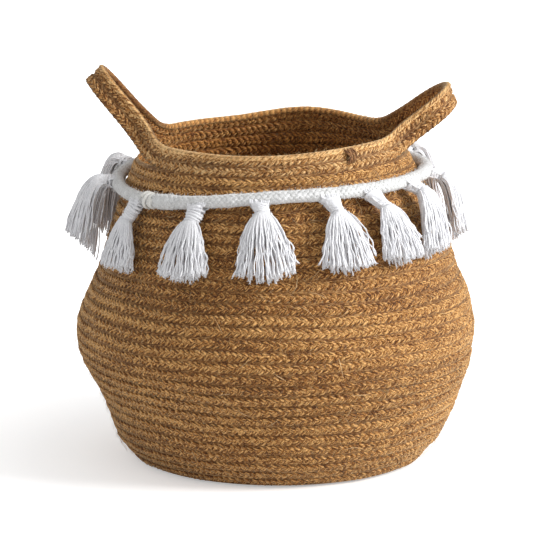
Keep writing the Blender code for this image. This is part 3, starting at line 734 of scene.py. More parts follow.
def handle_loop(side, reach, half_gap, steepness, tip_turn):
    """The strap round a handle, from front root to back root: its rows, and its ways up and outwards."""
    root = on_wall(np.array(root_angle(side, -1)), rim_middle, -PLAIT_THICKNESS / 2)
    bend = ease((np.arange(BEND_STEPS) + 0.5) / BEND_STEPS * reach / HANDLE_BEND)
    climb_angle = side * ROW_CLIMB + (steepness - side * ROW_CLIMB) * bend
    out = np.concatenate([[0], np.cumsum(np.cos(climb_angle))]) * reach / BEND_STEPS
    up = np.concatenate([[0], np.cumsum(np.sin(climb_angle))]) * reach / BEND_STEPS
    shape = [(share, half_gap + gap * (HANDLE_ROOT - half_gap)) for share, gap in ARM_CLOSING]
    shape += [(share, gap * half_gap) for share, gap in LOOP_END]
    stations = []
    for share, depth in shape:
        i = round(share * BEND_STEPS)
        stations.append((root[0] + side * out[i], -depth, root[2] + up[i]))
    arm = smooth_line(stations, ARM_STEPS)
    loop = np.vstack([arm, arm[-2::-1] * (1, -1, 1)])
    away = abs(loop[:, 0] - root[0])
    tilt = rim_tilt + (steepness - rim_tilt) * ease(away / HANDLE_TWIST)
    tilt = tilt - tip_turn * ease((away / away.max() - TIP_START) / (1 - TIP_START))
    ahead = unit(np.gradient(loop, axis=0))
    upright = np.stack([-side * np.sin(tilt), 0 * tilt, np.cos(tilt)], axis=-1)
    upright = unit(upright - ahead * np.sum(upright * ahead, axis=1, keepdims=True))
    rows = [loop + upright * offset for offset in row_offsets]
    return *rows, upright, np.cross(ahead, upright) * side


def softened(values):
    """Values round the closed strap, each evened out with its neighbours."""
    reach = 3 * STRAP_SOFTNESS
    weights = np.exp(-0.5 * (np.arange(-reach, reach + 1) / STRAP_SOFTNESS)**2)
    total = sum(weight * np.roll(values, i - reach, axis=0) for i, weight in enumerate(weights))
    return total / weights.sum()


left_loop, right_loop = [handle_loop(*shape) for shape in HANDLES.values()]
stretches = (
    rim_arc(root_angle(1, -1), root_angle(-1, -1)),
    left_loop,
    rim_arc(root_angle(-1, 1), root_angle(1, 1)),
    [part[::-1] for part in right_loop],
)
*strap_rows, strap_ups, strap_outs = [np.vstack([stretch[k][:-1] for stretch in stretches])
                                      for k in range(RIM_ROWS + 2)]
strap_middle = sum(strap_rows) / RIM_ROWS
strap_run = distances_along(np.vstack([strap_middle, strap_middle[:1]]))
corners = np.concatenate([[0], np.cumsum([len(stretch[0]) - 1 for stretch in stretches])])
strap_periods = round(strap_run[-1] / PLAIT_PERIOD)
strap_count = strap_periods * PLAIT_STEPS
strap_places = strap_run[-1] * np.arange(strap_count) / strap_count
corner_places = [round(strap_run[corner] / strap_run[-1] * strap_count) for corner in corners]


def strap_values(values):
    """Values of the strap's corners spread evenly along it, then evened out."""
    looped = np.vstack([values, values[:1]])
    even = np.stack([np.interp(strap_places, strap_run, looped[:, k]) for k in range(3)], axis=-1)
    return softened(even)


strap_rows = [strap_values(row) for row in strap_rows]
strap_up = unit(strap_values(strap_ups))
strap_out = unit(strap_values(strap_outs))
strap_widened = np.linalg.norm(strap_rows[1] - strap_rows[0], axis=1) / row_pitch
round_strap = full_turn(strap_count)

# The strap's stretches in their order round the mouth: name, CAD node, side of a handle, and slot.
STRAP_PIECES = (
    ("rim_front_rows", "rim_band_front", None, "rim_jute"),
    ("left_handle_strap", "handle_left", "left", "handle_jute"),
    ("rim_back_rows", "rim_band_back", None, "rim_jute"),
    ("right_handle_strap", "handle_right", "right", "handle_jute"),
)
strap_tones = [[shades.uniform(*STRAND_TONES) for _ in range(STRANDS)] for _ in range(RIM_ROWS)]
joints = {joint["name"]: joint for joint in frame["joints"]}
long_drift, short_drift = STRAP_DRIFTS

for stretch, (name, node, side_name, slot_name) in enumerate(STRAP_PIECES):
    span = np.arange(corner_places[stretch], corner_places[stretch + 1] + 1) % strap_count
    wide, outwards = strap_widened[span], strap_out[span]
    strap = StrandPiece()
    from_root = np.minimum(np.arange(len(span)), np.arange(len(span))[::-1]) * STRAP_STEP
    handle_darkening = HANDLE_DARKENING * ease(from_root / HANDLE_DARKENING_REACH) if side_name else 0
    for row, middle in enumerate(strap_rows):
        for strand in range(STRANDS):
            phase = 2 * math.pi * (np.arange(strap_count) / PLAIT_STEPS + strand / STRANDS + row / 6)
            phase = phase + (long_drift * np.sin(13 * round_strap + 2 * row)
                             + short_drift * np.sin(29 * round_strap + row))
            across, through = weave(phase)
            seam = row + (across > 0)
            in_seam = (seam < RIM_ROWS) * seam_shade(round_strap, seam) * np.sin(phase)**2 * STRAP_SEAM_SHADE
            line = middle + strap_up * (across * strap_widened)[:, None] + strap_out * through[:, None]
            strap.add_plait_strand(line[span], outwards, STRAND_HALF_WIDTH * wide,
                                   strap_tones[row][strand] - handle_darkening, (tucked(phase) + in_seam)[span])
        strap.add_core(middle[span], outwards, row_pitch / 2 * wide - CORE_MARGIN)
    strap.add_seam((strap_rows[0] + strap_rows[1])[span] / 2, outwards, SEAM_HALF_WIDTH * wide,
                   SEAM_HALF_THICKNESS, SEAM_TONE)
    # The rounded bead along the top edge, its tone raised as a painted highlight.
    top_edge = strap_rows[1] + strap_up * (row_pitch / 2 * strap_widened - EDGE_BEAD_IN)[:, None]
    turned_over = np.sin(2 * math.pi * STRANDS * span / PLAIT_STEPS)
    strap.add(top_edge[span], outwards, EDGE_BEAD_HALF_HEIGHT * (1 + BEAD_LUMPS * turned_over),
              EDGE_BEAD_HALF_THICKNESS, STRAND_SIDES, twist=STRAND_TWIST,
              tone=BEAD_HIGHLIGHT_TONE + BEAD_HIGHLIGHT_STEP * turned_over - HANDLE_DARKENING_ON_BEAD * handle_darkening)
    strap_piece = strap.finish(name, rim_jute)
    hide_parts(node)
    if side_name is None:
        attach(strap_piece, "basket")
        continue
    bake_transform(strap_piece)


# The plait's end: the last of the strands, turned down over the rim and caught with a few stitches.
# Its cut fibre is darker than the plait, on the front of the rim towards the right.
TUCK_ANGLE = from_front(34.5)
TUCK_WIDTH = 8 * MM
TUCK_HEIGHT = 12 * MM
TUCK_STRANDS = 5
TUCK_STEPS = 12
TUCK_ENDS_IN = 0.6 * MM
TUCK_BULGE = 1.7 * MM
TUCK_UNEVEN = 0.3 * MM
TUCK_HALF_WIDTH = 1.0 * MM
TUCK_HALF_THICKNESS = 0.8 * MM
TUCK_TWIST = 90
TUCK_TONES = (0.2, 0.8)

tuck_jute = make_jute("tuck_jute", (0.06, 0.02, 0.006, 1), (0.22, 0.085, 0.025, 1),
                      (0.42, 0.20, 0.075, 1), 0.72)
tuck_piece = StrandPiece()
share = np.linspace(0, 1, TUCK_STEPS)
climb = rim_middle + row_pitch / 4 + TUCK_HEIGHT * (0.5 - share)
for i in range(TUCK_STRANDS):
    place = (i + 0.5) / TUCK_STRANDS - 0.5
    fanned = 1 + 0.5 * np.cos(5 * share + i)
    angle = TUCK_ANGLE + place * TUCK_WIDTH / float(wall_at(rim_middle)[0]) * fanned
    proud = -TUCK_ENDS_IN + TUCK_BULGE * np.sin(math.pi * share)**0.6 + TUCK_UNEVEN * math.sin(3 * i)
    tuck_piece.add(on_wall(angle, climb, proud), out_of_wall(angle, climb), TUCK_HALF_WIDTH,
                   TUCK_HALF_THICKNESS, STRAND_SIDES, twist=TUCK_TWIST, tone=shades.uniform(*TUCK_TONES))
plait_end = tuck_piece.finish("plait_end", tuck_jute)
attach(plait_end, "basket")
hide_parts("braid_end_tuck")


# Loose jute fibres: short hairs that stand out of the plait all over, and a few long pale ones.
# They are what jute sheds where the strands rub in making. One in seven stands on the rim's edge.
HAIR_COUNT = 5800
EDGE_EVERY = 7
EDGE_DROP = 0.15
LONG_SHARE = 0.02
HAIR_LENGTH = (2 * MM, 7 * MM)
LONG_LENGTH = (9 * MM, 17 * MM)
EDGE_LENGTH = (1.5 * MM, 4.5 * MM)
HAIR_HALF = 0.1 * MM
LONG_HALF = 0.3 * MM
HAIR_LIFT = (0.05, 0.4)
LONG_LIFT = (0.02, 0.12)
HAIR_ROOT_OUT = 0.2 * MM
HAIR_BOW = 0.6
HEADING_SPREAD = 0.9
HAIR_STATIONS = np.array([0, 0.35, 0.7, 1])
HAIR_TAPER = np.array([0.7, 1, 0.8, 0.35])
HAIR_FLATNESS = 0.6
HAIR_SIDES = 3
HAIR_TONES = (0.4, 1.2)

hair_jute = make_jute("hair_jute", (0.30, 0.15, 0.055, 1), (0.60, 0.37, 0.17, 1),
                      (0.86, 0.64, 0.37, 1), 0.70)
rim_height = float(wall_at((RIM_ROW - 1) * row_pitch)[1])
hairs = StrandPiece()
for i in range(HAIR_COUNT):
    is_long = shades.random() < LONG_SHARE
    angle = shades.uniform(0, 2 * math.pi)
    on_edge = i % EDGE_EVERY == 0
    row = WALL_ROWS - EDGE_DROP if on_edge else shades.uniform(1, WALL_ROWS - 0.5)
    climb = row * row_pitch
    lengths = LONG_LENGTH if is_long else HAIR_LENGTH
    length = shades.uniform(*(EDGE_LENGTH if on_edge else lengths))
    heading = shades.gauss(math.pi / 2 if on_edge else 0, HEADING_SPREAD)
    reach = length * HAIR_STATIONS
    bow = shades.uniform(-HAIR_BOW, HAIR_BOW)
    sideways = reach * np.cos(heading + bow * reach / length)
    upwards = reach * np.sin(heading + bow * reach / length)
    lift = shades.uniform(*(LONG_LIFT if is_long else HAIR_LIFT))
    turned = angle + sideways / float(wall_at(climb)[0])
    line = on_wall(turned, climb + upwards, HAIR_ROOT_OUT + reach * lift)
    line[:, 2] += np.maximum(0, climb + upwards - wall_climbed[-1])

    # The top rows leave the wall between a handle's roots, so a hair that would stand there is left out.
    if abs(line[0, 1]) < HANDLE_ROOT and line[:, 2].max() > rim_height:
        continue
    thin = (LONG_HALF if is_long else HAIR_HALF) * HAIR_TAPER
    hairs.add(line, out_of_wall(angle, climb), thin, thin * HAIR_FLATNESS, HAIR_SIDES,
              tone=shades.uniform(*HAIR_TONES))
loose_fibres = hairs.finish("loose_fibres", hair_jute)
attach(loose_fibres, "basket")


# The neck cord: a soft round cord of braided white cotton, laid round the neck under the handles.
# Twelve yarns, six each way, cross over and under each other round a plain core. It sags a little in
# front on the left, and bulges beside the binding of its two ends.
CORD_RADIUS = 5.3 * MM
SEAT_GAP = 0.3 * MM
CORD_DROP = 3 * MM
CORD_SAG = 7.5 * MM
CORD_SAG_ANGLE = from_front(-50)
CORD_SAG_REACH = math.radians(58)
CORD_YARNS = 6
CORD_TURN = 26 * MM
CORD_CROSSING_STEPS = 4
CORD_YARN_HALF_WIDTH = 1.7 * MM
CORD_YARN_HALF_THICKNESS = 0.55 * MM
CORD_YARN_SIDES = 6
CORD_YARN_TWIST = 200
CORD_RELIEF = 0.2 * MM
CORD_CORE_IN = 0.9 * CORD_YARN_HALF_THICKNESS
CORD_CORE_SIDES = 10
CORD_UNEVEN = (0.035, 0.025)
BULGE = 0.3
BULGE_PLACE = 18 * MM
BULGE_REACH = 11 * MM
BINDING_ANGLE = from_front(-49)

# The fuzz on it: how many hairs, their lengths and half their thickness; how deep their roots are, and how
# far round the cord they stand, in radians from straight out. Then how they bend, and how flat and how
# light they are.
CORD_FUZZ = (3200, (1 * MM, 2.6 * MM), 0.13 * MM)
CORD_FUZZ_ROOT_IN = 0.2 * MM
CORD_FUZZ_SPIN = (-1.6, 2.4)
FUZZ_OUT = 0.6
FUZZ_CURL = 0.6
FUZZ_FLATNESS = 0.7
FUZZ_TONES = (0.6, 1)


def make_cotton(name, shade, light, width, length, roughness):
    """White cotton yarn: soft, matt and faintly streaked, with a little painted shade between its fibres."""
    material, tree, shader = new_material(name)
    fine = streaks(tree, width, length, 2)
    specks = patches(tree, 0.9, 1)
    tone, tuck = [kept_number(tree, label) for label in ("tone", "tuck")]
    share = math_node(tree, "ADD", spread(tree, fine, 0.3, 0.65, 0.1, 0.8),
                      spread(tree, tone, 0, 1, -0.1, 0.3))
    share = math_node(tree, "SUBTRACT", share, spread(tree, tuck, 0.2, 1, 0, 0.4))
    share = math_node(tree, "ADD", share, spread(tree, specks, 0.35, 0.65, -0.3, 0.3))
    tree.links.new(mix_colours(tree, spread(tree, share, 0, 1), shade, light), shader.inputs["Base Color"])
    rough = math_node(tree, "ADD", fine, specks)
    bump = shader_node(tree, "ShaderNodeBump", {"Height": rough, "Distance": 0.35 * MM, "Strength": 0.8})
    tree.links.new(bump.outputs["Normal"], shader.inputs["Normal"])
    set_finish(shader, {"Roughness": roughness, "Specular IOR Level": 0.25, "Sheen Weight": 0.25,
                        "Sheen Roughness": 0.5})
    return material


cord_cotton = make_cotton("cord_cotton", (0.58, 0.58, 0.57, 1), (0.83, 0.83, 0.83, 1), 0.6, 2, 0.85)


def cord_climb(angle):
    """How far up the wall the cord lies at an angle."""
    return neck_climb - CORD_DROP - CORD_SAG * nearness(angle, CORD_SAG_ANGLE, CORD_SAG_REACH)


def cord_middle(angle):
    """The cord's middle line against the neck."""
    return on_wall(angle, cord_climb(angle), CORD_RADIUS + SEAT_GAP)


def cord_outwards(angle):
    """The way straight out of the wall at the cord."""
    return out_of_wall(angle, cord_climb(angle))


def spokes(out, up, spin):
    """Ways out of a line at a spin round it: 0 is straight out, a quarter turn is straight up."""
    return out * np.cos(spin)[..., None] + up * np.sin(spin)[..., None]


def add_fuzz(piece, place_hair, count, length, half):
    """Short loose fibres, each from a root along a way out, with a bend in it."""
    for _ in range(count):
        root, out = place_hair()
        bend = unit(np.array([shades.gauss(0, 1) for _ in range(3)]))
        reach = shades.uniform(*length)
        way = unit(out * FUZZ_OUT + bend)
        curled = unit(way + out * shades.uniform(-FUZZ_CURL, FUZZ_CURL))
        line = [root, root + way * reach * 0.5, root + curled * reach]
        piece.add(line, np.cross(way, out) + 0.01, half, half * FUZZ_FLATNESS, HAIR_SIDES,
                  tone=shades.uniform(*FUZZ_TONES))


cord_round = float(wall_at(neck_climb)[0]) + CORD_RADIUS
cord_length = 2 * math.pi * cord_round
cord_turns = round(cord_length / CORD_TURN)
cord_steps = cord_turns * CORD_YARNS * CORD_CROSSING_STEPS
cord_share = np.arange(cord_steps) / cord_steps
cord_angle = BINDING_ANGLE + 2 * math.pi * cord_share
cord_line = cord_middle(cord_angle)
cord_out = cord_outwards(cord_angle)
cord_up = unit(np.cross(cord_out, unit(np.roll(cord_line, -1, axis=0) - np.roll(cord_line, 1, axis=0))))
long_wave, short_wave = CORD_UNEVEN
swollen = 1 + BULGE * np.exp(-((cord_share * cord_length - BULGE_PLACE) / BULGE_REACH)**2)
swollen = swollen * (1 + long_wave * np.sin(23 * cord_angle) + short_wave * np.sin(61 * cord_angle))
braid = StrandPiece()
# Yarns take painted shade where they run under the others, and the core inside takes some too.
for way in (1, -1):
    for yarn in range(CORD_YARNS):
        spin = 2 * math.pi * (way * cord_turns * cord_share + yarn / CORD_YARNS)
        over = way * np.cos(2 * math.pi * CORD_YARNS * cord_turns * cord_share)
        radius = (CORD_RADIUS - CORD_YARN_HALF_THICKNESS + CORD_RELIEF * (over - 1)) * swollen
        spoke = spokes(cord_out, cord_up, spin)
        braid.add(cord_line + spoke * radius[:, None], spoke, CORD_YARN_HALF_WIDTH * swollen,
                  CORD_YARN_HALF_THICKNESS, CORD_YARN_SIDES, closed=True, twist=CORD_YARN_TWIST,
                  tone=shades.random(), tuck=0.5 - 0.5 * over)
core_radius = (CORD_RADIUS - CORD_CORE_IN) * swollen
braid.add(cord_line, cord_out, core_radius, core_radius, CORD_CORE_SIDES, closed=True, tuck=0.4)


def hair_on_cord():
    """A root on the front or the top of the cord, and the way out there."""
    i = shades.randrange(cord_steps)
    spoke = spokes(cord_out[i], cord_up[i], shades.uniform(*CORD_FUZZ_SPIN))
    return cord_line[i] + spoke * (CORD_RADIUS - CORD_FUZZ_ROOT_IN) * swollen[i], spoke


add_fuzz(braid, hair_on_cord, *CORD_FUZZ)
neck_cord = braid.finish("neck_cord_braid", cord_cotton)
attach(neck_cord, "basket")
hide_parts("neck_cord")


# The binding: cotton thread wound tightly round the cord's two ends, where they meet in front on the left.
# Its turns lie a little loose and the frayed cord ends stick out on both sides.
BINDING_LENGTH = 12 * MM
THREAD_HALF = 1.6 * MM
THREAD_FLATNESS = 0.8
THREAD_SIDES = 6
THREAD_TWIST = 300
THREAD_TONE = 0.7
THREAD_SPACING = 2.2
THREAD_STEPS = 20
THREAD_OFF_CORD = 0.5 * MM
THREAD_LOOSE = 0.5 * MM
THREAD_SLANTS = (1.1 * MM, 0.6 * MM)
WAIST_DEPTH, WAIST_PLACE, WAIST_REACH = 0.1, 0.6, 0.22
BINDING_FUZZ = (110, (1.5 * MM, 4 * MM), 0.15 * MM)
BINDING_FUZZ_PLACES = (0.05, 0.5, 0.95)
BINDING_FUZZ_ROOT = 1.05 * CORD_RADIUS

binding_thread = make_cotton("binding_thread", (0.70, 0.68, 0.63, 1), (0.94, 0.93, 0.89, 1), 0.25, 2, 0.8)
binding = StrandPiece()
binding_turns = round(BINDING_LENGTH / (THREAD_SPACING * THREAD_HALF))
binding_share = np.linspace(0, 1, binding_turns * THREAD_STEPS + 1)
binding_angle = BINDING_ANGLE + (binding_share - 0.5) * BINDING_LENGTH / cord_round
spin = 2 * math.pi * binding_turns * binding_share
binding_line = cord_middle(binding_angle)
binding_out = cord_outwards(binding_angle)
binding_ahead = unit(np.gradient(binding_line, axis=0))
binding_up = unit(np.cross(binding_out, binding_ahead))
spoke = spokes(binding_out, binding_up, spin)
waist = 1 - WAIST_DEPTH * np.exp(-((binding_share - WAIST_PLACE) / WAIST_REACH)**2)
thread_radius = (CORD_RADIUS + THREAD_OFF_CORD) * waist + THREAD_LOOSE * np.sin(spin * 0.37)
turn_slant, long_slant = THREAD_SLANTS
slant = turn_slant * np.sin(spin + 1) + long_slant * np.sin(spin * 0.23)
thread_line = binding_line + spoke * thread_radius[:, None] + binding_ahead * slant[:, None]
binding.add(thread_line, spoke, THREAD_HALF, THREAD_HALF * THREAD_FLATNESS, THREAD_SIDES,
            twist=THREAD_TWIST, tone=THREAD_TONE)


def hair_on_binding():
    """A root on the binding, mostly near its two edges, and the way out there."""
    i = int(len(binding_share) * shades.choice(BINDING_FUZZ_PLACES))
    spoke = spokes(binding_out[i], binding_up[i], shades.uniform(0, 2 * math.pi))
    return binding_line[i] + spoke * BINDING_FUZZ_ROOT, spoke


add_fuzz(binding, hair_on_binding, *BINDING_FUZZ)
cord_binding = binding.finish("cord_binding_thread", binding_thread)
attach(cord_binding, "basket")
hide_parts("cord_binding")


# The tassels: hanks of soft white cotton yarn folded over the cord, and wound into a short neck below it.
# The cut yarns hang free from the neck in a loose skirt over the shoulder of the basket.

# For each tassel, in degrees: its angle round the neck from the front towards the right, and its neck's
# droop. Then in millimetres: its neck's length, its skirt's length, width and depth at the hem and sway
# towards the right, and how far to the right of its bound neck it hangs on the cord.
TASSELS = (
    (-113, 21, 6.5, 51, 36, 27, 0, 0),
    (-84, 4, 6.5, 48, 44, 36, 0, 0),
    (-55.8, -58, 15, 43, 42, 21, 6, 3),
    (-29, -57, 12, 48, 42, 20, -3, 4.5),
    (-4, -54, 8.5, 54, 48, 21, 0, -1.5),
    (22, -50, 12.5, 48, 46, 20, 1, -4.5),
    (40, -45, 14, 46, 41, 20, 6, -8),
    (60, -32, 9, 49, 38, 20, -7, -4),
    (85, -26, 8.5, 48, 38, 18, 0, -2),
    (121, 22, 6.5, 52, 38, 20, 0, 0),
    (140, -50, 11, 52, 42, 21, 0, 1),
    (166, -52, 10, 53, 42, 20, 0, -2),
    (191, -52, 12, 51, 43, 20, 0, 1.5),
    (217, -46, 10, 53, 42, 21, 0, -1.5),
)
HEAD_WIDTH = 16 * MM
NECK_THICKNESS = 12 * MM
YARN_SIDES = 5

# The saddle: yarns side by side over the cord and under it, rounder in the middle than at the sides, that
# narrow into the neck. Each starts a little inside the cord, at an uneven height.
SADDLE_YARNS = 11
SADDLE_STEPS = 8
SADDLE_THICKNESS = 1.9 * MM
SADDLE_TOP, SADDLE_BOTTOM = math.radians(55), math.radians(30)
SADDLE_UNEVEN = (0.7, 1.3)
SADDLE_ROUNDING = 0.9
SADDLE_END_IN = 1.3 * MM
SADDLE_OFF_CORD = 0.2 * MM
SADDLE_BULGE = 1.2 * MM
SADDLE_YARN_HALF_WIDTH = 0.85 * MM
SADDLE_YARN_HALF_THICKNESS = 0.6 * MM
SADDLE_YARN_TWIST = 150
SADDLE_TONES = (0.3, 0.9)
NARROWING_START = -1.6
NECK_SHARES = (0.6, 0.8, 0.97)
NECK_YARNS_OFF = 3.4 * MM

# The collar: the thread wound round the neck, narrower towards the skirt, its turns slanting a little.
COLLAR_HALF = 1.2 * MM
COLLAR_FLATNESS = 0.85
COLLAR_START = CORD_RADIUS + 0.3 * MM
COLLAR_SPACING = 1.8 * COLLAR_HALF
COLLAR_STEPS = 18
COLLAR_SLANT = 2.4 * MM
COLLAR_TAPER = 0.28
COLLAR_THINNING = 0.1
COLLAR_LOOSE = 0.07
COLLAR_UNEVEN = 0.12
COLLAR_SIDES = 6
COLLAR_TWIST = 180
COLLAR_TONE, COLLAR_TONE_STEP = 0.6, 0.3
NECK_CORE_SIDES = 12
COLLAR_FUZZ = (150, (1.2 * MM, 2.8 * MM), 0.12 * MM)

# The skirt: how its middle line drops out of the neck, bows, and hangs along the wall; how soon the
# yarns follow that line and spread; and how the ones behind are pulled in to the neck.
SKIRT_DROP = 0.75
SKIRT_BOW = 0.25
SKIRT_HANG = 0.38
SKIRT_LAG = 0.4
SKIRT_TOP_SHARE = 0.88
SKIRT_FLARE = 0.7
SKIRT_STEPS = 20
SKIRT_START = -0.05
INNER_PULL = 9 * MM

# Its yarns: half of them in front, set back by turns so that they lie over each other, the rest inside.
SKIRT_YARNS = 120
FRONT_YARNS = 60
FRONT_SPAN = math.radians(105)
FRONT_SET_BACK = (0.2 * MM, 0.9 * MM, 1.7 * MM, 0.7 * MM)
INNER_SET_BACK = 1 * MM
GOLDEN_TURN = math.pi * (3 - math.sqrt(5))
# Painted shade on the yarns that lie further in and further set back.
SKIRT_TUCK_SHADE = 0.3
SET_BACK_TUCK_SHADE = 0.25
YARN_HALF = 0.62 * MM
YARN_TWIST = 220
YARN_TONES = (0.1, 1)
YARN_ENDS = (0.93, 1.01)
SIDE_SHORTENING = 0.10
PLY_RELIEF = 0.16
BRUSH_SWELL = 0.35
BRUSH_LENGTH = 0.07
OFF_WALL = 0.4 * MM

# A few stray yarns hang outside the others, shorter and more wavy.
STRAY_SHARE = 0.08
STRAY_OUT = (0.95, 1.2)
STRAY_THROUGH = 0.4
STRAY_ENDS = (0.6, 0.93)
STRAY_LOOSE = 2.2

# The cut end of each yarn frays into a few short fibres, thinning towards their tips.
FRAYS = 4
FRAY_REACH = (1, 2.2)
FRAY_SPREAD = 0.5
FRAY_HALF_WIDTHS = np.array([0.4, 0.15]) * MM
FRAY_HALF_THICKNESSES = np.array([0.3, 0.12]) * MM
FRAY_TONE = 0.9
FRAY_OFF_WALL = 0.5 * MM

tassel_cotton = make_cotton("tassel_cotton", (0.72, 0.72, 0.75, 1), (0.92, 0.92, 0.94, 1), 0.35, 2.5, 0.85)


class TasselPlace:
    """A tassel's own directions: along the cord, outwards and upwards, from the cord's middle."""

    def __init__(self, name, angle):
        joint = joints[f"{name}_swing"]
        self.angle = angle
        self.pivot = np.array(joint["pos_m"])
        self.along = -unit(np.array(joint["axis"], float))
        self.up = unit(np.array((0, 0, 1)) - self.along * self.along[2])
        self.out = np.cross(self.along, self.up)

    def points(self, across, out, up):
        """Points in space from the three offsets."""
        across, out, up = np.broadcast_arrays(across, out, up)
        return (self.pivot + self.along * across[..., None] + self.out * out[..., None]
                + self.up * up[..., None])

    def ways(self, out, up):
        """Directions in space from offsets outwards and upwards."""
        return self.out * np.asarray(out)[..., None] + self.up * np.asarray(up)[..., None]


def clear_of_wall(points, margin):
    """Points moved straight out from the basket's middle until they clear the wall's outside."""
    height = points[:, 2] - ROW_CLIMB * points[:, 0]
    radius = np.interp(height, wall_line[:, 1], wall_line[:, 0]) + margin
    shift = np.interp(height, wall_line[:, 1], wall_line[:, 2])
    x = points[:, 0] - shift
    scale = np.maximum(1, radius / np.hypot(x, points[:, 1]))
    return np.stack([x * scale + shift, points[:, 1] * scale, points[:, 2]], axis=-1)


def add_saddle(piece, place, reach, droop, lean):
    """The yarns that come over the cord and under it, and go down into the neck."""
    inward = np.array([math.cos(droop), math.sin(droop)])
    beside = np.array([-inward[1], inward[0]])
    neck_half = HEAD_WIDTH / 2 * (1 - COLLAR_TAPER) - 2 * COLLAR_HALF
    for side in (1, -1):
        for i in range(SADDLE_YARNS):
            spot = (2 * i + 1) / SADDLE_YARNS - 1
            rounded = math.sqrt(1 - (SADDLE_ROUNDING * spot)**2)
            top = SADDLE_TOP * shades.uniform(*SADDLE_UNEVEN)
            arc = droop + side * np.linspace(top, SADDLE_BOTTOM, SADDLE_STEPS)
            radius = np.linspace(CORD_RADIUS - SADDLE_END_IN,
                                 CORD_RADIUS + SADDLE_OFF_CORD + SADDLE_BULGE * rounded, SADDLE_STEPS)
            on_cord = np.stack([radius * np.cos(arc), radius * np.sin(arc)], axis=-1)
            in_neck = [inward * (reach * share) + beside * side * NECK_YARNS_OFF * rounded
                       for share in NECK_SHARES]
            outline = np.vstack([on_cord, in_neck])
            shares = np.clip(np.linspace(NARROWING_START, 1, len(outline)), 0, 1)
            across = spot * (HEAD_WIDTH / 2 * (1 - shares) + neck_half * shares) + lean * (1 - shares)
            piece.add(place.points(across, outline[:, 0], outline[:, 1]),
                      place.ways(outline[:, 0], outline[:, 1]), SADDLE_YARN_HALF_WIDTH,
                      SADDLE_YARN_HALF_THICKNESS, YARN_SIDES, twist=SADDLE_YARN_TWIST,
                      tone=shades.uniform(*SADDLE_TONES))


def add_collar(piece, place, reach, droop, lean):
    """The thread wound round the neck, the core of yarns inside it, and the fuzz on it."""
    inward = np.array([math.cos(droop), math.sin(droop)])
    beside = np.array([-inward[1], inward[0]])
    turns = round((reach - COLLAR_START) / COLLAR_SPACING)
    share = np.linspace(0, 1, turns * COLLAR_STEPS + 1)
    spin = 2 * math.pi * turns * share + shades.uniform(0, 6)
    run = COLLAR_START + (reach - COLLAR_HALF - COLLAR_START) * share
    loose = 1 + COLLAR_LOOSE * np.sin(spin * 0.31 + shades.uniform(0, 6))
    half_across = (HEAD_WIDTH / 2 - COLLAR_HALF) * (1 - COLLAR_TAPER * share) * loose
    half_through = (NECK_THICKNESS / 2 - COLLAR_HALF) * (1 - COLLAR_THINNING * share)
    tilt = COLLAR_SLANT * np.cos(spin) * ease(share * 3) * ease((1 - share) * 3)
    out = inward[0] * (run + tilt) + beside[0] * half_through * np.sin(spin)
    up = inward[1] * (run + tilt) + beside[1] * half_through * np.sin(spin)
    ways = (place.along * np.cos(spin)[:, None] / HEAD_WIDTH
            + place.ways(beside[0] * np.sin(spin), beside[1] * np.sin(spin)) / NECK_THICKNESS)
    thread = COLLAR_HALF * (1 + COLLAR_UNEVEN * np.sin(spin * 1.7))
    across = half_across * np.cos(spin) + lean * (1 - share)
    piece.add(place.points(across, out, up), ways, thread, thread * COLLAR_FLATNESS, COLLAR_SIDES,
              twist=COLLAR_TWIST, tone=COLLAR_TONE + COLLAR_TONE_STEP * np.sin(spin * 0.7))

    core_share = np.array([0, 0.5, 1])
    core_start = COLLAR_START - SADDLE_END_IN
    core = inward * (core_start + (reach - core_start) * core_share)[:, None]
    piece.add(place.points(lean * (1 - core_share), core[:, 0], core[:, 1]), place.ways(*beside),
              HEAD_WIDTH / 2 * (1 - COLLAR_TAPER * core_share) - 2 * COLLAR_HALF,
              NECK_THICKNESS / 2 - 2 * COLLAR_HALF, NECK_CORE_SIDES, tone=COLLAR_TONE)

    def hair_on_collar():
        """A root on the wound thread, and the way out there."""
        i = shades.randrange(len(share))
        return place.points(across[i], out[i], up[i]), unit(ways[i])

    add_fuzz(piece, hair_on_collar, *COLLAR_FUZZ)


def skirt_middle(place, neck_reach, way, length, depth):
    """The skirt's middle line, outwards and upwards from the cord: out of the neck, then down the wall."""
    hem_climb = cord_climb(place.angle) - neck_reach * SKIRT_DROP - length
    hem_spot = on_wall(np.array(place.angle), hem_climb, depth / 2 + SEAT_GAP) - place.pivot
    hem = np.array([hem_spot @ place.out, hem_spot @ place.up])
    slope = np.array(wall_slope(hem_climb))
    neck_end = way * neck_reach
    knots = (neck_end, neck_end + way * length * SKIRT_BOW, hem + slope * length * SKIRT_HANG, hem)

    def at(share):
        """Points at shares of the line, which runs on straight past both its ends."""
        t = np.asarray(share)[:, None]
        inside = np.clip(t, 0, 1)
        weights = ((1 - inside)**3, 3 * inside * (1 - inside)**2, 3 * inside**2 * (1 - inside), inside**3)
        spot = sum(knot * weight for knot, weight in zip(knots, weights))
        return spot + (t - inside) * np.where(t < 0, 3 * (knots[1] - knots[0]), 3 * (knots[3] - knots[2]))

    return at


def skirt_spot(i):
    """Where a yarn stands in the skirt's oval section: sideways, towards its front, and set back by."""
    if i < FRONT_YARNS:
        turned = FRONT_SPAN * ((2 * i + 1) / FRONT_YARNS - 1)
        return math.sin(turned), math.cos(turned), FRONT_SET_BACK[i % len(FRONT_SET_BACK)]
    spot = math.sqrt((i + 0.5 - FRONT_YARNS) / (SKIRT_YARNS - FRONT_YARNS))
    turned = i * GOLDEN_TURN + shades.uniform(-0.25, 0.25)
    return spot * math.cos(turned), spot * math.sin(turned), INNER_SET_BACK


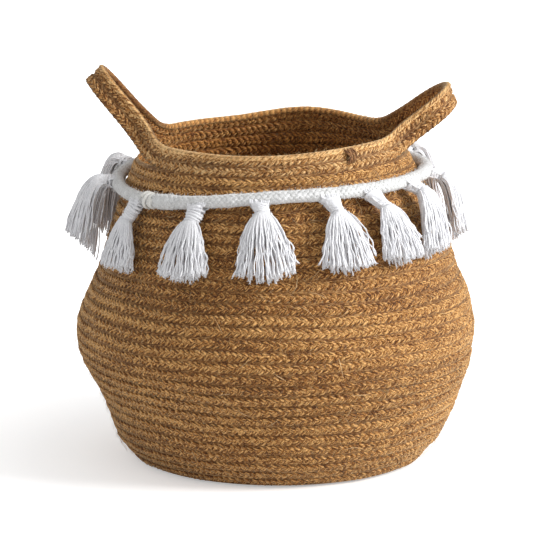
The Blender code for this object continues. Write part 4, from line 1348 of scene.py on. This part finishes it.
def add_skirt(piece, place, neck_reach, droop, length, width, depth, sway):
    """Yarns that leave the neck together, spread as they fall, and end unevenly in small brushes."""
    way = np.array([math.cos(droop), math.sin(droop)])
    middle = skirt_middle(place, neck_reach, way, length, depth)
    for i in range(SKIRT_YARNS):
        sideways, through, set_back = skirt_spot(i)
        end = shades.uniform(*YARN_ENDS) - SIDE_SHORTENING * sideways**2
        loose = 1
        if shades.random() < STRAY_SHARE:
            sideways = math.copysign(shades.uniform(*STRAY_OUT), sideways)
            through *= STRAY_THROUGH
            end = shades.uniform(*STRAY_ENDS)
            loose = STRAY_LOOSE
        share = np.linspace(SKIRT_START, end, SKIRT_STEPS)
        spine = middle(share)
        ahead = unit(np.gradient(spine, axis=0))
        facing = unit(ahead * (1 - SKIRT_LAG) + way * SKIRT_LAG)
        opened = np.clip(share, 0, 1.1)**SKIRT_FLARE
        half_width = (HEAD_WIDTH * SKIRT_TOP_SHARE * (1 - opened) + width * opened) / 2 - YARN_HALF
        dropped = ease(share)
        half_depth = (NECK_THICKNESS * SKIRT_TOP_SHARE * (1 - dropped) + depth * dropped) / 2 - YARN_HALF

        # Each yarn strays sideways in a slow and a quick wave, and in depth in a slow one.
        wander = ease(share * 1.5) * MM * loose
        wave = wander * shades.uniform(0.3, 1.2)
        wave = wave * np.sin(share * shades.uniform(4, 9) + shades.uniform(0, 6))
        wave = wave + wander * shades.uniform(0.2, 0.6) * np.sin(share * shades.uniform(16, 34))
        curl = wander * shades.uniform(0.2, 0.8)
        curl = curl * np.sin(share * shades.uniform(6, 14) + shades.uniform(0, 6))
        across = sideways * half_width + sway * share + wave
        depth_off = through * half_depth - set_back * ease(share * 3) + curl
        pulled_in = INNER_PULL * max(0, -through) * (1 - ease(share * 1.3)) * max(0, 1 + math.sin(droop))
        out = spine[:, 0] - facing[:, 1] * depth_off - way[0] * pulled_in
        up = spine[:, 1] + facing[:, 0] * depth_off - way[1] * pulled_in
        line = clear_of_wall(place.points(across, out, up), YARN_HALF + OFF_WALL)
        plied = 1 + PLY_RELIEF * np.sin(np.arange(SKIRT_STEPS) * 2.4 + shades.uniform(0, 6))
        brush = 1 + BRUSH_SWELL * ease((share - end + BRUSH_LENGTH) / BRUSH_LENGTH)
        thickness = YARN_HALF * shades.uniform(0.85, 1.1) * plied * brush
        piece.add(line, place.ways(-ahead[:, 1], ahead[:, 0]), thickness, thickness, YARN_SIDES,
                  twist=YARN_TWIST, tone=shades.uniform(*YARN_TONES),
                  tuck=SKIRT_TUCK_SHADE * (1 - through) + SET_BACK_TUCK_SHADE * set_back / max(FRONT_SET_BACK))
        for _ in range(FRAYS):
            spray = unit(line[-1] - line[-2]) + np.array([shades.gauss(0, FRAY_SPREAD) for _ in range(3)])
            fray = np.array([line[-1], line[-1] + unit(spray) * shades.uniform(*FRAY_REACH) * MM])
            piece.add(clear_of_wall(fray, FRAY_OFF_WALL), place.out, FRAY_HALF_WIDTHS,
                      FRAY_HALF_THICKNESSES, HAIR_SIDES, tone=FRAY_TONE)


for number, (turned, droop, *sizes) in enumerate(TASSELS, 1):
    neck_length, length, width, depth, sway, lean = [size * MM for size in sizes]
    droop = math.radians(droop)
    name = f"tassel_{number:02d}"
    place = TasselPlace(name, from_front(turned))
    neck_reach = CORD_RADIUS + SEAT_GAP + SADDLE_THICKNESS + neck_length
    head = StrandPiece()
    add_saddle(head, place, neck_reach, droop, lean)
    add_collar(head, place, neck_reach, droop, lean)
    head_piece = head.finish(f"{name}_collar", tassel_cotton)
    skirt = StrandPiece()
    add_skirt(skirt, place, neck_reach, droop, length, width, depth, sway)
    skirt_piece = skirt.finish(f"{name}_yarns", tassel_cotton)
    for piece, node in ((head_piece, f"{name}_head"), (skirt_piece, f"{name}_skirt")):
        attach(piece, name)
        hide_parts(node)


# The floor and the light: a plain white studio floor, a soft key light from the upper right, a little in
# front, and an even white surround that fills the shadows. The floor reads whiter away from the basket.
FLOOR_SIZE = 8
FLOOR_SHADE = 0.88
GLOW_REACH = (0.2, 0.7)
GLOW_NEAR, GLOW_FAR = 0.4, 1
KEY_SPOT = Vector((2.15, -0.75, 1.3))
KEY_AIM = Vector((0, 0, 0.15))
KEY_SIZE = 0.9
KEY_POWER = 64
SURROUND = 0.65


def seen_directly(tree):
    """Add nodes that tell the rays of the camera, of a reflection or through glass from those of light."""
    rays = shader_node(tree, "ShaderNodeLightPath").outputs
    kinds = ("Is Camera Ray", "Is Glossy Ray", "Is Transmission Ray")
    return math_node(tree, "MAXIMUM", *[rays[kind] for kind in kinds])


bpy.ops.object.select_all(action="DESELECT")
bpy.ops.mesh.primitive_plane_add(size=FLOOR_SIZE, location=(0, 0, 0))
floor = bpy.context.object
floor.name = "studio_floor"
floor_material, tree, shader = new_material("studio_floor")
set_finish(shader, {"Base Color": (FLOOR_SHADE, FLOOR_SHADE, FLOOR_SHADE, 1), "Roughness": 0.9})
floor_spot = shader_node(tree, "ShaderNodeTexCoord").outputs["Object"]
from_middle = shader_node(tree, "ShaderNodeVectorMath", {0: floor_spot}, operation="LENGTH").outputs["Value"]
whitened = spread(tree, from_middle, *GLOW_REACH, GLOW_NEAR, GLOW_FAR)
strength = math_node(tree, "MULTIPLY", seen_directly(tree), whitened)
glow = shader_node(tree, "ShaderNodeEmission", {"Color": (1, 1, 1, 1), "Strength": strength})
both = shader_node(tree, "ShaderNodeAddShader", {0: shader.outputs[0], 1: glow.outputs[0]})
tree.links.new(both.outputs[0], tree.nodes["Material Output"].inputs["Surface"])
floor.data.materials.append(floor_material)

key_data = bpy.data.lights.new("key_light", "AREA")
key_data.energy = KEY_POWER
key_data.size = KEY_SIZE
key = bpy.data.objects.new("key_light", key_data)
key.location = KEY_SPOT
key.rotation_euler = (KEY_AIM - KEY_SPOT).to_track_quat("-Z", "Y").to_euler()
bpy.context.scene.collection.objects.link(key)

world = bpy.data.worlds.new("white_surround")
bpy.context.scene.world = world
world.use_nodes = True
tree = world.node_tree
background = tree.nodes["Background"].inputs
tree.links.new(spread(tree, seen_directly(tree), 0, 1, SURROUND, 1), background["Strength"])
background["Color"].default_value = (1, 1, 1, 1)
bpy.context.scene.view_settings.view_transform = "Standard"
